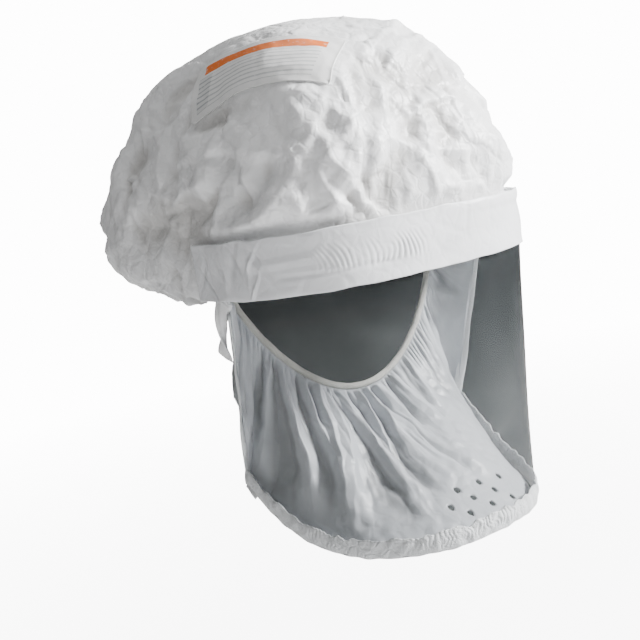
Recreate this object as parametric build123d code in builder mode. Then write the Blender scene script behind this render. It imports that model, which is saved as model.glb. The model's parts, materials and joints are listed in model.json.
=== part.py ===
from build123d import *
import os
from math import cos, exp, pi, radians, sin

# Loose-fitting hood for supplied air: a bulging fabric crown, a stiff brow band, a clear visor that
# hangs from the band, a gathered seal round the face, and a head harness inside with a rear air inlet.
# +Z is up, the face looks along -Y and +X is the wearer's left. The origin lies on the head's upright
# axis, level with the lower edge of the brow band. Every length is in millimetres.

os.makedirs("parts", exist_ok=True)

# ---- clearances
fabric_gap = 0.2
slide_gap = 0.25
running_gap = 0.08

# ---- brow band and visor
band_half_width = 110.4
band_depth = 85.4
band_side_y = -26.8
band_round = 2.55
band_height = 36.0
band_wall = 2.0
band_tail = 29.0
visor_wall = 0.8
visor_tuck = 8.0
visor_drop = 169.0
visor_foot_half_width = 93.6
visor_foot_depth = 141.6
visor_foot_y = 24.4
visor_side_rise = 0.246
visor_rise_power = 5.53
hem_wall = 1.5
hem_height = 12.0

# ---- face seal
seal_wall = 1.0
elastic_half_width = 85.5
elastic_side_y = 7.0
elastic_chin_y = -5.1
elastic_side_z = -3.1
elastic_chin_z = -81.9
elastic_pinch = 1.66
elastic_radius = 2.4
vent_radius = 2.2
vent_pitch = 19.5

# ---- crown: z, half width, front y and rear y of each level
crown_levels = [
    (9.0, 103.0, -107.5, 172.0),
    (20.0, 106.5, -109.3, 204.0),
    (38.0, 107.3, -109.8, 218.0),
    (58.0, 108.0, -109.5, 219.0),
    (82.0, 104.0, -106.0, 207.0),
    (106.0, 95.0, -98.0, 188.0),
    (130.0, 85.0, -84.0, 164.0),
    (149.0, 67.0, -60.0, 133.0),
    (159.0, 50.0, -41.0, 108.0),
    (165.0, 34.0, -24.0, 86.0),
    (168.0, 18.0, -9.0, 66.0),
]
crown_wall = 1.6
crown_front_share = 0.42
crown_front_round = 3.0
crown_rear_round = 2.35
crown_bulge = 0.17
crown_bulge_y = 115.0
crown_bulge_reach = 60.0
neck_half_width = 88.0
neck_half_depth = 107.0
rim_radius = 2.5
label_length = 102.0
label_height = 44.0

# ---- head harness
head_y = 5.0
head_half_width = 76.0
head_half_depth = 98.0
pad_wall = 3.0
band_strip = 2.0
strap_wall = 1.5
strap_width = 18.0
harness_low_z = 18.0
harness_high_z = 42.0
harness_z = 30.0
arch_z = 58.0
arch_height = 60.0
side_strap_height = 16.0
crown_pad_radius = 16.0
crown_pad_drop = 2.2
rivet_radius = 1.6
rivet_head_radius = 3.6
rivet_head = 0.9

# ---- nape ratchet
housing_half_length = 28.0
housing_height = 34.0
housing_wall = 1.8
nape_y = 103.3
rack_thickness = 2.0
rack_height = 7.0
rack_inner_end = 9.0
rack_travel = 12.5
gear_module = 1.0
gear_teeth = 12
knob_radius = 15.0
knob_length = 12.0
shaft_radius = 3.0

# ---- air inlet and duct
inlet_tilt = 50.0
inlet_y = 200.5
inlet_z = 34.3
socket_bore_radius = 15.0
socket_radius = 19.9
socket_length = 26.0
flange_radius = 27.0
flange_plate = 4.0
flange_collar = 6.0
neck_radius = 22.0
neck_length = 12.0
nut_height = 4.6
gasket_height = 1.5
clip_height = 1.5
button_size = 7.6
button_travel = 2.5
duct_width = 60.0
duct_height = 12.0
duct_wall = 1.5


def finish(piece, name):
    piece.part.label = name
    export_step(piece.part, f"parts/{name}.step")


def oval(u, half_width, depth, side_y):
    """A point of the rounded front outline, from u = -1 on the right to u = 1 on the left."""
    turn = (u + 1) * pi / 2
    across = abs(cos(turn)) ** (2 / band_round) * half_width
    x = -across if cos(turn) > 0 else across
    return (x, side_y - abs(sin(turn)) ** (2 / band_round) * depth)


def front_outline(half_width, depth, side_y):
    steps = [k / 10 for k in range(-10, 11)]
    return [oval(u, half_width, depth, side_y) for u in steps]


def front_loop(half, depth, side_y, tail):
    """The rounded front closed by straight sides and a straight back, drawn into the open sketch."""
    arc = Spline(front_outline(half, depth, side_y))
    if tail > 0:
        Polyline(arc @ 1, (half, side_y + tail), (-half, side_y + tail), arc @ 0)
    else:
        Line(arc @ 1, arc @ 0)


# ---- brow band -----------------------------------------------------------------------------------
def band_block(inset, tail, low, high):
    with BuildPart() as block:
        with BuildSketch(Plane.XY.offset(low)):
            with BuildLine():
                front_loop(band_half_width - inset, band_depth - inset, band_side_y, tail)
            make_face()
        extrude(amount=high - low)
    return block.part


band_outside = band_block(0, band_tail, 0, band_height)
band_inside = band_block(band_wall, band_tail + 10, -1, band_height + 1)
with BuildPart() as brow_band:
    add(band_outside)
    add(band_inside, mode=Mode.SUBTRACT)
finish(brow_band, "brow_band")


# ---- visor and its hem ---------------------------------------------------------------------------
def visor_block(top_inset, foot_inset, tail):
    """The tapering space inside a wall that runs from the band down to the visor's foot plane."""
    with BuildPart() as block:
        top = (visor_tuck, band_half_width, band_depth, band_side_y, top_inset)
        foot = (-visor_drop - 1, visor_foot_half_width, visor_foot_depth, visor_foot_y, foot_inset)
        for z, half_width, depth, side_y, inset in (top, foot):
            with BuildSketch(Plane.XY.offset(z)):
                with BuildLine():
                    front_loop(half_width - inset, depth - inset, side_y, tail)
                make_face()
        loft(ruled=True)
    return block.part


def hem_point(u):
    """The foot of the visor in side view: level in front and rising to the side edges."""
    drop = 1 - visor_side_rise * abs(u) ** visor_rise_power
    top_y = oval(u, band_half_width, band_depth, band_side_y)[1]
    foot_y = oval(u, visor_foot_half_width, visor_foot_depth, visor_foot_y)[1]
    return (top_y + drop * (foot_y - top_y), -visor_drop * drop)


def below_hem(lift):
    """Everything under the foot line, lifted by the given height, as a wide extruded block."""
    line = [hem_point(u) for u in (0, 0.35, 0.5, 0.6, 0.7, 0.8, 0.9, 1)]
    line = [(y, z + lift) for y, z in line]
    front_y = line[0][0] - 20
    back_y = line[-1][0] + 30
    low_z = -visor_drop - 20
    with BuildPart() as block:
        with BuildSketch(Plane.YZ):
            with BuildLine():
                foot = Spline(line)
                rise = Line(foot @ 1, (back_y, (foot @ 1).Y + 25))
                Polyline(rise @ 1, (back_y, low_z), (front_y, low_z), (front_y, line[0][1]), foot @ 0)
            make_face()
        extrude(amount=band_half_width + 20, both=True)
    return block.part


visor_top_inset = band_wall + 2 * fabric_gap
visor_foot_inset = hem_wall + fabric_gap
under_foot = below_hem(0)
under_hem_top = below_hem(hem_height)
visor_outside = visor_block(visor_top_inset, visor_foot_inset, 0)
visor_inside = visor_block(visor_top_inset + visor_wall, visor_foot_inset + visor_wall, 20)
with BuildPart() as visor:
    add(visor_outside)
    add(visor_inside, mode=Mode.SUBTRACT)
    add(under_foot, mode=Mode.SUBTRACT)
finish(visor, "visor")

hem_outside = visor_block(visor_top_inset - visor_foot_inset, 0, 0)
hem_inside = visor_block(visor_top_inset - fabric_gap / 2, visor_foot_inset - fabric_gap / 2, 20)
with BuildPart() as visor_hem:
    add(hem_outside)
    add(hem_inside, mode=Mode.SUBTRACT)
    add(under_hem_top, mode=Mode.INTERSECT)
    add(under_foot, mode=Mode.SUBTRACT)
finish(visor_hem, "visor_hem")


# ---- face seal and its elastic -------------------------------------------------------------------
seal_top_inset = visor_top_inset + visor_wall + 2 * fabric_gap + seal_wall
seal_foot_inset = visor_foot_inset + visor_wall + 2 * fabric_gap + seal_wall


def seal_edge(s):
    """The sewn edge of the seal: down one side edge of the visor, along its foot and up the other."""
    corner = 0.62
    u = max(-1, min(1, s / corner))
    side = max(0, (abs(s) - corner) / (1 - corner))
    full = 1 - visor_side_rise * abs(u) ** visor_rise_power
    drop = full * (1 - side) + 0.03 * side
    top = oval(u, band_half_width - seal_top_inset, band_depth - seal_top_inset, band_side_y)
    foot = oval(u, visor_foot_half_width - seal_foot_inset, visor_foot_depth - seal_foot_inset, visor_foot_y)
    x = top[0] + drop * (foot[0] - top[0])
    y = top[1] + drop * (foot[1] - top[1])
    return (x, y, -visor_drop * drop + 1.5)


def elastic_point(s, grow):
    """A point of the face opening's edge, moved outwards by the given growth."""
    turn = (s + 1) * pi / 2
    dip = sin(turn) ** elastic_pinch if 0 < turn < pi else 0
    x = -cos(turn) * (elastic_half_width + grow)
    y = elastic_side_y + (elastic_chin_y - elastic_side_y) * dip
    return (x, y, elastic_side_z + (elastic_chin_z - grow - elastic_side_z) * dip)


seal_steps = [k / 16 for k in range(-16, 17)]
seal_grow = elastic_radius + 2 * fabric_gap


def outwards(s):
    """The way from the face to the neck side of the seal: down and back in front, sideways at the ears."""
    turn = abs(s) ** 1.5
    across = 0.83 * turn if s > 0 else -0.83 * turn
    return Vector(across, 0.6, -0.79 + 0.69 * turn).normalized() * seal_wall


def seal_spline(place, shifted):
    points = [Vector(*place(s)) + (outwards(s) if shifted else Vector(0, 0, 0)) for s in seal_steps]
    return Edge.make_spline(points)


def face_edge(s):
    return elastic_point(s, seal_grow)


seal_borders = [
    seal_spline(face_edge, False),
    seal_spline(seal_edge, False),
    seal_spline(seal_edge, True),
    seal_spline(face_edge, True),
]
seal_faces = []
for number in range(4):
    near = seal_borders[number]
    far = seal_borders[(number + 1) % 4]
    seal_faces.append(Face.make_surface_from_curves(near, far))
for end in (0, 1):
    corners = [border @ end for border in seal_borders]
    first = Edge.make_line(corners[0], corners[1])
    last = Edge.make_line(corners[3], corners[2])
    seal_faces.append(Face.make_surface_from_curves(first, last))
seal_block = Solid(Shell(seal_faces))
chin = Vector(*elastic_point(0, seal_grow))
seal_front = Vector(*seal_edge(0))
seal_slope = (chin - seal_front).normalized()
seal_normal = Vector(1, 0, 0).cross(seal_slope)
vent_rows = [(15.5, -4), (24.5, -13), (33.5, 0)]
with BuildPart() as face_seal:
    add(seal_block)
    for row, start in vent_rows:
        for place in range(3):
            spot = seal_front + seal_slope * row + Vector(start + place * vent_pitch, 0, 0)
            with BuildSketch(Plane(origin=spot, x_dir=(1, 0, 0), z_dir=seal_normal)):
                Circle(vent_radius)
            extrude(amount=12, both=True, mode=Mode.SUBTRACT)
finish(face_seal, "face_seal")

with BuildPart() as face_seal_elastic:
    with BuildLine() as elastic_line:
        Spline([elastic_point(k / 10, 0) for k in range(-10, 11)])
    with BuildSketch(Plane(origin=elastic_line.line @ 0, z_dir=elastic_line.line % 0)):
        Circle(elastic_radius)
    sweep()
finish(face_seal_elastic, "face_seal_elastic")


# ---- crown cover ---------------------------------------------------------------------------------
def crown_outline(z, half_width, front_y, rear_y):
    """A closed egg shape: squarer in front, rounder behind, with a bulge behind the ears."""
    widest_y = front_y + crown_front_share * (rear_y - front_y)
    steps = 32
    points = []
    for k in range(steps):
        turn = 2 * pi * k / steps
        along = -cos(turn)
        power = crown_front_round if along < 0 else crown_rear_round
        length = widest_y - front_y if along < 0 else rear_y - widest_y
        y = widest_y + along * length
        swell = exp(-(((y - crown_bulge_y) / crown_bulge_reach) ** 2))
        swell = 1 + crown_bulge * (1 - z / crown_levels[-1][0]) * swell
        x = half_width * (1 - min(1, abs(along)) ** power) ** (1 / power) * swell
        points.append((x if sin(turn) > 0 else -x, y))
    return points


def crown_block(inset):
    """The crown's outer shape moved inwards by the inset, or outwards where it is negative."""
    with BuildPart() as block:
        for number, (z, half_width, front_y, rear_y) in enumerate(crown_levels):
            level = z
            if number == 0:
                level = z + inset
            if number == len(crown_levels) - 1:
                level = z - inset
            with BuildSketch(Plane.XY.offset(level)):
                with BuildLine():
                    Spline(crown_outline(z, half_width - inset, front_y + inset, rear_y - inset), periodic=True)
                make_face()
        loft()
    return block.part


def inlet_plane(along):
    """A plane square to the air inlet's axis, the given distance outside the cover's flat seat."""
    out = Vector(0, sin(radians(inlet_tilt)), -cos(radians(inlet_tilt)))
    return Plane(origin=Vector(0, inlet_y, inlet_z) + out * along, x_dir=(1, 0, 0), z_dir=out)


neck_low = crown_levels[0][0]
crown_outside = split(crown_block(0), bisect_by=inlet_plane(0), keep=Keep.BOTTOM)
crown_inside = split(crown_block(crown_wall), bisect_by=inlet_plane(-crown_wall), keep=Keep.BOTTOM)
with BuildPart() as crown_cover:
    add(crown_outside)
    add(crown_inside, mode=Mode.SUBTRACT)
    with BuildSketch(Plane.XY.offset(neck_low - 1)):
        with BuildLine():
            low_z, low_half_width, low_front_y, low_rear_y = crown_levels[0]
            low_outline = crown_outline(low_z, low_half_width - crown_wall, low_front_y + crown_wall, low_rear_y)
            Spline(low_outline, periodic=True)
        make_face()
        with Locations((0, 300)):
            Rectangle(600, 600, mode=Mode.SUBTRACT)
        with Locations((0, head_y)):
            Ellipse(neck_half_width, neck_half_depth)
    extrude(amount=crown_wall + 2, mode=Mode.SUBTRACT)
    with BuildSketch(inlet_plane(1)):
        Circle(neck_radius + slide_gap)
    extrude(amount=-(crown_wall + 2), mode=Mode.SUBTRACT)
finish(crown_cover, "crown_cover")

with BuildPart() as rim_elastic:
    rim_half_width = neck_half_width - rim_radius - fabric_gap
    rim_half_depth = neck_half_depth - rim_radius - fabric_gap
    rim_plane = Plane(origin=(0, head_y, neck_low + crown_wall / 2))
    with BuildLine(rim_plane) as rim_line:
        EllipticalCenterArc((0, 0), rim_half_width, rim_half_depth, start_angle=0, arc_size=180)
    with BuildSketch(Plane(origin=rim_line.line @ 0, z_dir=rim_line.line % 0)):
        Circle(rim_radius)
    sweep()
finish(rim_elastic, "rim_elastic")

label_plane = Plane(origin=(-59.7, -36.3, 130.6), x_dir=(0.48, -0.876, 0.03), z_dir=(-0.672, -0.346, 0.654))
label_outside = crown_block(-0.9)
label_inside = crown_block(-0.15)
with BuildPart() as label_patch:
    with BuildSketch(label_plane):
        RectangleRounded(label_length, label_height, 3)
    extrude(amount=35, both=True)
    add(label_outside, mode=Mode.INTERSECT)
    add(label_inside, mode=Mode.SUBTRACT)
finish(label_patch, "label_patch")

for side, name in ((-1, "side_tie_right"), (1, "side_tie_left")):
    with BuildPart() as side_tie:
        with BuildSketch(Plane.XY.offset(-fabric_gap)):
            with Locations((side * (band_half_width - 3), band_side_y + band_tail - 7)):
                Rectangle(5, 12)
        with BuildSketch(Plane.XY.offset(-34)):
            with Locations((side * 97, 1)):
                Rectangle(4, 6)
        loft()
    finish(side_tie, name)


# ---- head harness --------------------------------------------------------------------------------
def front_ring(inner_x, inner_y, wall, low, high, back):
    """The part of an upright elliptical band that lies in front of the given y."""
    with BuildPart() as block:
        with BuildSketch(Plane.XY.offset(low)):
            with Locations((0, head_y)):
                Ellipse(inner_x + wall, inner_y + wall)
                Ellipse(inner_x, inner_y, mode=Mode.SUBTRACT)
            with Locations((0, back + 200)):
                Rectangle(600, 400, mode=Mode.SUBTRACT)
        extrude(amount=high - low)
    return block.part


band_inner_x = head_half_width + pad_wall + 0.1
band_inner_y = head_half_depth + pad_wall + 0.1
band_outer_x = band_inner_x + band_strip
band_outer_y = band_inner_y + band_strip
arch_inner_x = band_outer_x + strap_wall + 3 * fabric_gap
arch_outer_x = arch_inner_x + strap_wall
front_leg_y = head_y - band_outer_y - fabric_gap
plate_y = nape_y + pad_wall
rear_leg_y = plate_y + housing_wall + fabric_gap
arch_mid_y = (front_leg_y + rear_leg_y) / 2
arch_inner_y = (rear_leg_y - front_leg_y) / 2
arch_top_z = arch_z + arch_height
strap_lift = 3 * fabric_gap
housing_top = harness_z + housing_height / 2
low_rivet_z = 26.0
tab_rivet_z = housing_top + 7
tab_z = harness_z + 5
strap_rivet_y = head_y + 12.6
crown_grip = crown_pad_drop + pad_wall + 2 * strap_wall + strap_lift + 0.2

rivets = [
    ((0, front_leg_y - strap_wall - 0.1, low_rivet_z), (0, 1, 0), strap_wall + fabric_gap + band_strip + 0.2),
    ((0, plate_y - 0.1, tab_rivet_z), (0, 1, 0), housing_wall + fabric_gap + strap_wall + 0.2),
    ((0, head_y, arch_top_z - crown_pad_drop - pad_wall - 0.1), (0, 0, 1), crown_grip),
]
for side in (-1, 1):
    rivets.append(((side * (band_inner_x - 0.4), 0, low_rivet_z), (side, 0, 0), arch_outer_x - band_inner_x + 0.5))
    rivets.append(((side * (band_inner_x - 1.3), strap_rivet_y, harness_z), (side, 0, 0), band_strip + strap_wall + 1.6))


def rivet_shanks(radius, extra):
    with BuildPart() as block:
        for origin, direction, grip in rivets:
            with BuildSketch(Plane(origin=Vector(*origin) - Vector(*direction) * extra, z_dir=direction)):
                Circle(radius)
            extrude(amount=grip + 2 * extra)
    return block.part


shank_holes = rivet_shanks(rivet_radius + 0.05, 2)
band_back = head_y + 20
brow_back = -45
band_ring = front_ring(band_inner_x, band_inner_y, band_strip, harness_low_z, harness_high_z, band_back)
pad_ring = front_ring(head_half_width, head_half_depth, pad_wall, harness_low_z - 2, harness_high_z + 2, brow_back)

with BuildPart() as front_headband:
    add(band_ring)
    add(shank_holes, mode=Mode.SUBTRACT)
finish(front_headband, "front_headband")

with BuildPart() as brow_pad:
    add(pad_ring)
    with BuildSketch(Plane(origin=(0, head_y - head_half_depth + 10, low_rivet_z), z_dir=(0, -1, 0))):
        Circle(rivet_head_radius + 0.4)
    extrude(amount=30, mode=Mode.SUBTRACT)
finish(brow_pad, "brow_pad")


def arch(inner_half, wall, top_inner, low, plane):
    """A flat strap bent over the head: a half ellipse on two upright legs."""
    with BuildPart() as block:
        with BuildSketch(plane):
            Ellipse(inner_half + wall, top_inner + wall)
            Ellipse(inner_half, top_inner, mode=Mode.SUBTRACT)
            with Locations((0, -200)):
                Rectangle(600, 400, mode=Mode.SUBTRACT)
            for side in (-1, 1):
                with Locations((side * (inner_half + wall / 2), (low - arch_z) / 2)):
                    Rectangle(wall, arch_z - low)
        extrude(amount=strap_width / 2, both=True)
    return block.part


side_arch_plane = Plane(origin=(0, head_y, arch_z), x_dir=(1, 0, 0), z_dir=(0, -1, 0))
side_arch = arch(arch_inner_x, strap_wall, arch_height, harness_low_z + 2, side_arch_plane)
with BuildPart() as crown_strap_side:
    add(side_arch)
    add(shank_holes, mode=Mode.SUBTRACT)
finish(crown_strap_side, "crown_strap_side")

long_rise = arch_height + strap_wall + strap_lift
long_arch_plane = Plane(origin=(0, arch_mid_y, arch_z), x_dir=(0, 1, 0), z_dir=(1, 0, 0))
long_arch = arch(arch_inner_y, strap_wall, long_rise, harness_low_z + 2, long_arch_plane)
with BuildPart() as crown_strap_long:
    add(long_arch)
    with BuildSketch(Plane.XY.offset(housing_top + fabric_gap)):
        with Locations((0, rear_leg_y)):
            Rectangle(strap_width + 4, 40)
    extrude(amount=-60, mode=Mode.SUBTRACT)
    add(shank_holes, mode=Mode.SUBTRACT)
finish(crown_strap_long, "crown_strap_long")

with BuildPart() as crown_pad:
    with BuildSketch(Plane.XY.offset(arch_top_z - crown_pad_drop)):
        with Locations((0, head_y)):
            Circle(crown_pad_radius)
    extrude(amount=-pad_wall)
    add(shank_holes, mode=Mode.SUBTRACT)
finish(crown_pad, "crown_pad")

rivet_bodies = rivet_shanks(rivet_radius, 0)
with BuildPart() as harness_rivets:
    add(rivet_bodies)
    for origin, direction, grip in rivets:
        near = Plane(origin=Vector(*origin), z_dir=direction)
        far = Plane(origin=Vector(*origin) + Vector(*direction) * grip, z_dir=direction)
        with BuildSketch(near):
            Circle(rivet_head_radius)
        extrude(amount=-rivet_head)
        with BuildSketch(far):
            Circle(rivet_head_radius)
        extrude(amount=rivet_head)
finish(harness_rivets, "harness_rivets")


def strap_line(shift):
    """Half of the flexible strap in plan: from the headband's end back to the rack's end plate."""
    end_y = rack_y + rack_thickness + 2 * fabric_gap
    return [
        (band_outer_x + fabric_gap + shift, head_y + 4),
        (band_outer_x - 1.4 + shift, head_y + 46),
        (69.5 + shift * 0.8, head_y + 85 + shift * 0.6),
        (59 + shift * 0.4, end_y - 3 + shift * 0.9),
        (rack_end, end_y + shift),
        (rack_plate_end + 0.5, end_y + shift),
    ]


rack_y = plate_y + housing_wall + slide_gap
rack_plate_end = housing_half_length + rack_travel + 0.7
rack_end = rack_plate_end + 9
peg_x = rack_plate_end + 5
for side, name in ((-1, "side_strap_right"), (1, "side_strap_left")):
    with BuildPart() as side_strap:
        with BuildSketch(Plane.XY.offset(harness_z - side_strap_height / 2)):
            with BuildLine():
                near = Spline([(side * x, y) for x, y in strap_line(0)], tangents=((0, 1), (-side, 0)))
                far = Spline([(side * x, y) for x, y in strap_line(strap_wall)], tangents=((0, 1), (-side, 0)))
                Line(near @ 0, far @ 0)
                Line(near @ 1, far @ 1)
            make_face()
        extrude(amount=side_strap_height)
        add(shank_holes, mode=Mode.SUBTRACT)
        with BuildSketch(Plane(origin=(side * peg_x, rack_y, harness_z), z_dir=(0, 1, 0))):
            Circle(rivet_radius + 0.1)
        extrude(amount=20, mode=Mode.SUBTRACT)
    finish(side_strap, name)

tab_inner = {"x": arch_outer_x + fabric_gap, "y": front_leg_y - strap_wall - fabric_gap}
side_reach = crown_levels[1][1] - crown_wall - 1.2
for side, name in ((-1, "side_tab_right"), (1, "side_tab_left")):
    with BuildPart() as side_tab:
        with BuildSketch(Plane.XY.offset(tab_z)):
            with Locations((side * (tab_inner["x"] + side_reach) / 2, head_y)):
                Rectangle(side_reach - tab_inner["x"], strap_width)
        extrude(amount=strap_wall)
    finish(side_tab, name)

front_reach = crown_levels[2][2] + crown_wall + 1.0
with BuildPart() as front_tab:
    with BuildSketch(Plane.XY.offset(tab_z)):
        with Locations((0, (tab_inner["y"] + front_reach) / 2)):
            Rectangle(strap_width, tab_inner["y"] - front_reach)
    extrude(amount=strap_wall)
finish(front_tab, "front_tab")

# ---- nape ratchet --------------------------------------------------------------------------------
pitch_radius = gear_module * gear_teeth / 2
tooth_pitch = pi * gear_module
tip_reach = 0.7 * gear_module
root_reach = 0.9 * gear_module
tray_depth = rack_thickness + 2 * slide_gap + 2.3
cover_y = plate_y + housing_wall + tray_depth
screw_x = 22.0
boss_radius = 3.4

with BuildPart() as nape_pad:
    with BuildSketch(Plane(origin=(0, nape_y - 0.1, harness_z), x_dir=(1, 0, 0), z_dir=(0, 1, 0))):
        RectangleRounded(2 * housing_half_length + 6, housing_height, 7)
    extrude(amount=pad_wall)
    with BuildSketch(Plane(origin=(0, nape_y - 1, harness_z), x_dir=(1, 0, 0), z_dir=(0, 1, 0))):
        Circle(shaft_radius + 2)
    extrude(amount=pad_wall + 2, mode=Mode.SUBTRACT)
finish(nape_pad, "nape_pad")

with BuildPart() as ratchet_housing:
    with BuildSketch(Plane(origin=(0, plate_y, harness_z), x_dir=(1, 0, 0), z_dir=(0, 1, 0))):
        RectangleRounded(2 * housing_half_length, housing_height, 5)
    extrude(amount=housing_wall + tray_depth)
    with BuildSketch(Plane(origin=(0, plate_y + housing_wall, harness_z), x_dir=(1, 0, 0), z_dir=(0, 1, 0))):
        inner_size = 2 * housing_half_length - 2 * housing_wall
        RectangleRounded(inner_size, housing_height - 2 * housing_wall, 3)
        with Locations((-screw_x, 0), (screw_x, 0)):
            Circle(boss_radius, mode=Mode.SUBTRACT)
    extrude(amount=tray_depth, mode=Mode.SUBTRACT)
    with BuildSketch(Plane(origin=(0, plate_y, tab_rivet_z - 4), x_dir=(1, 0, 0), z_dir=(0, 1, 0))):
        RectangleRounded(strap_width, 20, 3)
    extrude(amount=housing_wall)
    for side in (-1, 1):
        slot_z = harness_z - side * (pitch_radius + root_reach + rack_height / 2 - 0.8)
        with BuildSketch(Plane(origin=(side * housing_half_length, 0, slot_z), x_dir=(0, 1, 0), z_dir=(1, 0, 0))):
            with Locations((rack_y + rack_thickness / 2, 0)):
                Rectangle(rack_thickness + 2 * slide_gap, rack_height + 2.2)
        extrude(amount=housing_wall + 1, both=True, mode=Mode.SUBTRACT)
    with BuildSketch(Plane(origin=(0, plate_y - 1, harness_z), x_dir=(1, 0, 0), z_dir=(0, 1, 0))):
        Circle(shaft_radius + running_gap)
        with Locations((-screw_x, 0), (screw_x, 0)):
            Circle(1.3)
    extrude(amount=housing_wall + tray_depth + 2, mode=Mode.SUBTRACT)
    add(shank_holes, mode=Mode.SUBTRACT)
finish(ratchet_housing, "ratchet_housing")

with BuildPart() as ratchet_cover:
    with BuildSketch(Plane(origin=(0, cover_y, harness_z), x_dir=(1, 0, 0), z_dir=(0, 1, 0))):
        RectangleRounded(2 * housing_half_length, housing_height, 5)
        Circle(shaft_radius + running_gap, mode=Mode.SUBTRACT)
        with Locations((-screw_x, 0), (screw_x, 0)):
            Circle(1.3, mode=Mode.SUBTRACT)
    extrude(amount=housing_wall)
finish(ratchet_cover, "ratchet_cover")

with BuildPart() as ratchet_screws:
    for x in (-screw_x, screw_x):
        with BuildSketch(Plane(origin=(x, cover_y + housing_wall, harness_z), z_dir=(0, 1, 0))):
            Circle(2.8)
        extrude(amount=1.2)
        with BuildSketch(Plane(origin=(x, cover_y + housing_wall, harness_z), z_dir=(0, -1, 0))):
            Circle(1.25)
        extrude(amount=housing_wall + tray_depth)
finish(ratchet_screws, "ratchet_screws")

with BuildPart() as click_spring:
    nose_x = -(pitch_radius + tip_reach + 0.4)
    with BuildSketch(Plane(origin=(0, rack_y, harness_z), x_dir=(1, 0, 0), z_dir=(0, 1, 0))):
        with BuildLine():
            root_x = -screw_x + boss_radius
            Polyline((root_x, -0.4), (nose_x - 2, -1.2), (nose_x, 0), (nose_x - 2, 1.2), (root_x, 0.4), close=True)
        make_face()
    extrude(amount=3.4)
finish(click_spring, "click_spring")


def tooth(root_half, tip_half, root, tip):
    return [(-root_half, root), (-tip_half, tip), (tip_half, tip), (root_half, root)]


with BuildPart() as pinion_gear:
    with BuildSketch(Plane(origin=(0, rack_y + 0.1, harness_z), x_dir=(1, 0, 0), z_dir=(0, 1, 0))):
        Circle(pitch_radius - root_reach)
        with PolarLocations(0, gear_teeth):
            with BuildLine():
                Polyline(*[(y, x) for x, y in tooth(0.9, 0.32, pitch_radius - root_reach - 0.3, pitch_radius + tip_reach)], close=True)
            make_face()
        Circle(shaft_radius, mode=Mode.SUBTRACT)
    extrude(amount=rack_thickness + 1.5)
finish(pinion_gear, "pinion_gear")

for side, name in ((-1, "rack_right"), (1, "rack_left")):
    # the right rack runs over the pinion and the left one under it
    up = -side
    with BuildPart() as rack:
        with BuildSketch(Plane(origin=(0, rack_y, 0), x_dir=(1, 0, 0), z_dir=(0, -1, 0))):
            body_low = harness_z + up * (pitch_radius + root_reach)
            with Locations((side * (rack_end - rack_inner_end) / 2, body_low + up * rack_height / 2)):
                Rectangle(rack_end + rack_inner_end, rack_height)
            with Locations((side * (rack_plate_end + rack_end) / 2, harness_z + up * (housing_height / 4 - 1))):
                Rectangle(rack_end - rack_plate_end, housing_height / 2 + 3)
            for number in range(-2, 6):
                centre = side * (number + 0.5) * tooth_pitch
                shape = tooth(0.8, 0.3, pitch_radius + root_reach + 0.2, pitch_radius - tip_reach)
                with BuildLine():
                    Polyline(*[(centre + x, harness_z + up * z) for x, z in shape], close=True)
                make_face()
        extrude(amount=-rack_thickness)
        with BuildSketch(Plane(origin=(side * peg_x, rack_y + rack_thickness / 2, harness_z), z_dir=(0, 1, 0))):
            Circle(rivet_radius)
        extrude(amount=rack_thickness / 2 + strap_wall + 0.6)
    finish(rack, name)

with BuildPart() as knob:
    knob_y = cover_y + housing_wall + 0.4
    with BuildSketch(Plane(origin=(0, knob_y, harness_z), x_dir=(1, 0, 0), z_dir=(0, 1, 0))):
        Circle(knob_radius)
        with PolarLocations(knob_radius + 1.2, 16):
            Circle(2.2, mode=Mode.SUBTRACT)
    extrude(amount=knob_length)
    fillet(knob.faces().sort_by(Axis.Y)[-1].edges(), 0.8)
    with BuildSketch(Plane(origin=(0, knob_y, harness_z), z_dir=(0, -1, 0))):
        Circle(shaft_radius)
    extrude(amount=knob_y - plate_y - 0.3)
finish(knob, "knob")


# ---- air inlet -----------------------------------------------------------------------------------
def tube(outer_radius, inner_radius, low, high):
    """A ring on the inlet's axis, from low to high along it."""
    with BuildPart() as block:
        with BuildSketch(inlet_plane(low)):
            Circle(outer_radius)
            Circle(inner_radius, mode=Mode.SUBTRACT)
        extrude(amount=high - low)
    return block.part


socket_bearing = socket_radius + running_gap
flange_plate_ring = tube(flange_radius, socket_bearing, 0.1, flange_plate)
flange_collar_ring = tube(socket_bearing + 3.5, socket_bearing, flange_plate, flange_plate + flange_collar)
flange_neck_ring = tube(neck_radius, socket_bearing, -neck_length, 0.1)
with BuildPart() as inlet_flange:
    add(flange_plate_ring)
    add(flange_collar_ring)
    add(flange_neck_ring)
finish(inlet_flange, "inlet_flange")

gasket_low = -crown_wall - 0.1 - gasket_height
with BuildPart() as inlet_gasket:
    add(tube(flange_radius - 1, neck_radius + 0.15, gasket_low, -crown_wall - 0.1))
finish(inlet_gasket, "inlet_gasket")

nut_low = gasket_low - 0.1 - nut_height
nut_ring = tube(flange_radius, neck_radius + 0.1, nut_low, gasket_low - 0.1)
with BuildPart() as inlet_nut:
    add(nut_ring)
    with BuildSketch(inlet_plane(nut_low)):
        with PolarLocations(flange_radius + 0.6, 8):
            Circle(2.2, mode=Mode.ADD)
        Circle(flange_radius - 0.5, mode=Mode.SUBTRACT)
    extrude(amount=nut_height - 1)
finish(inlet_nut, "inlet_nut")

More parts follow.
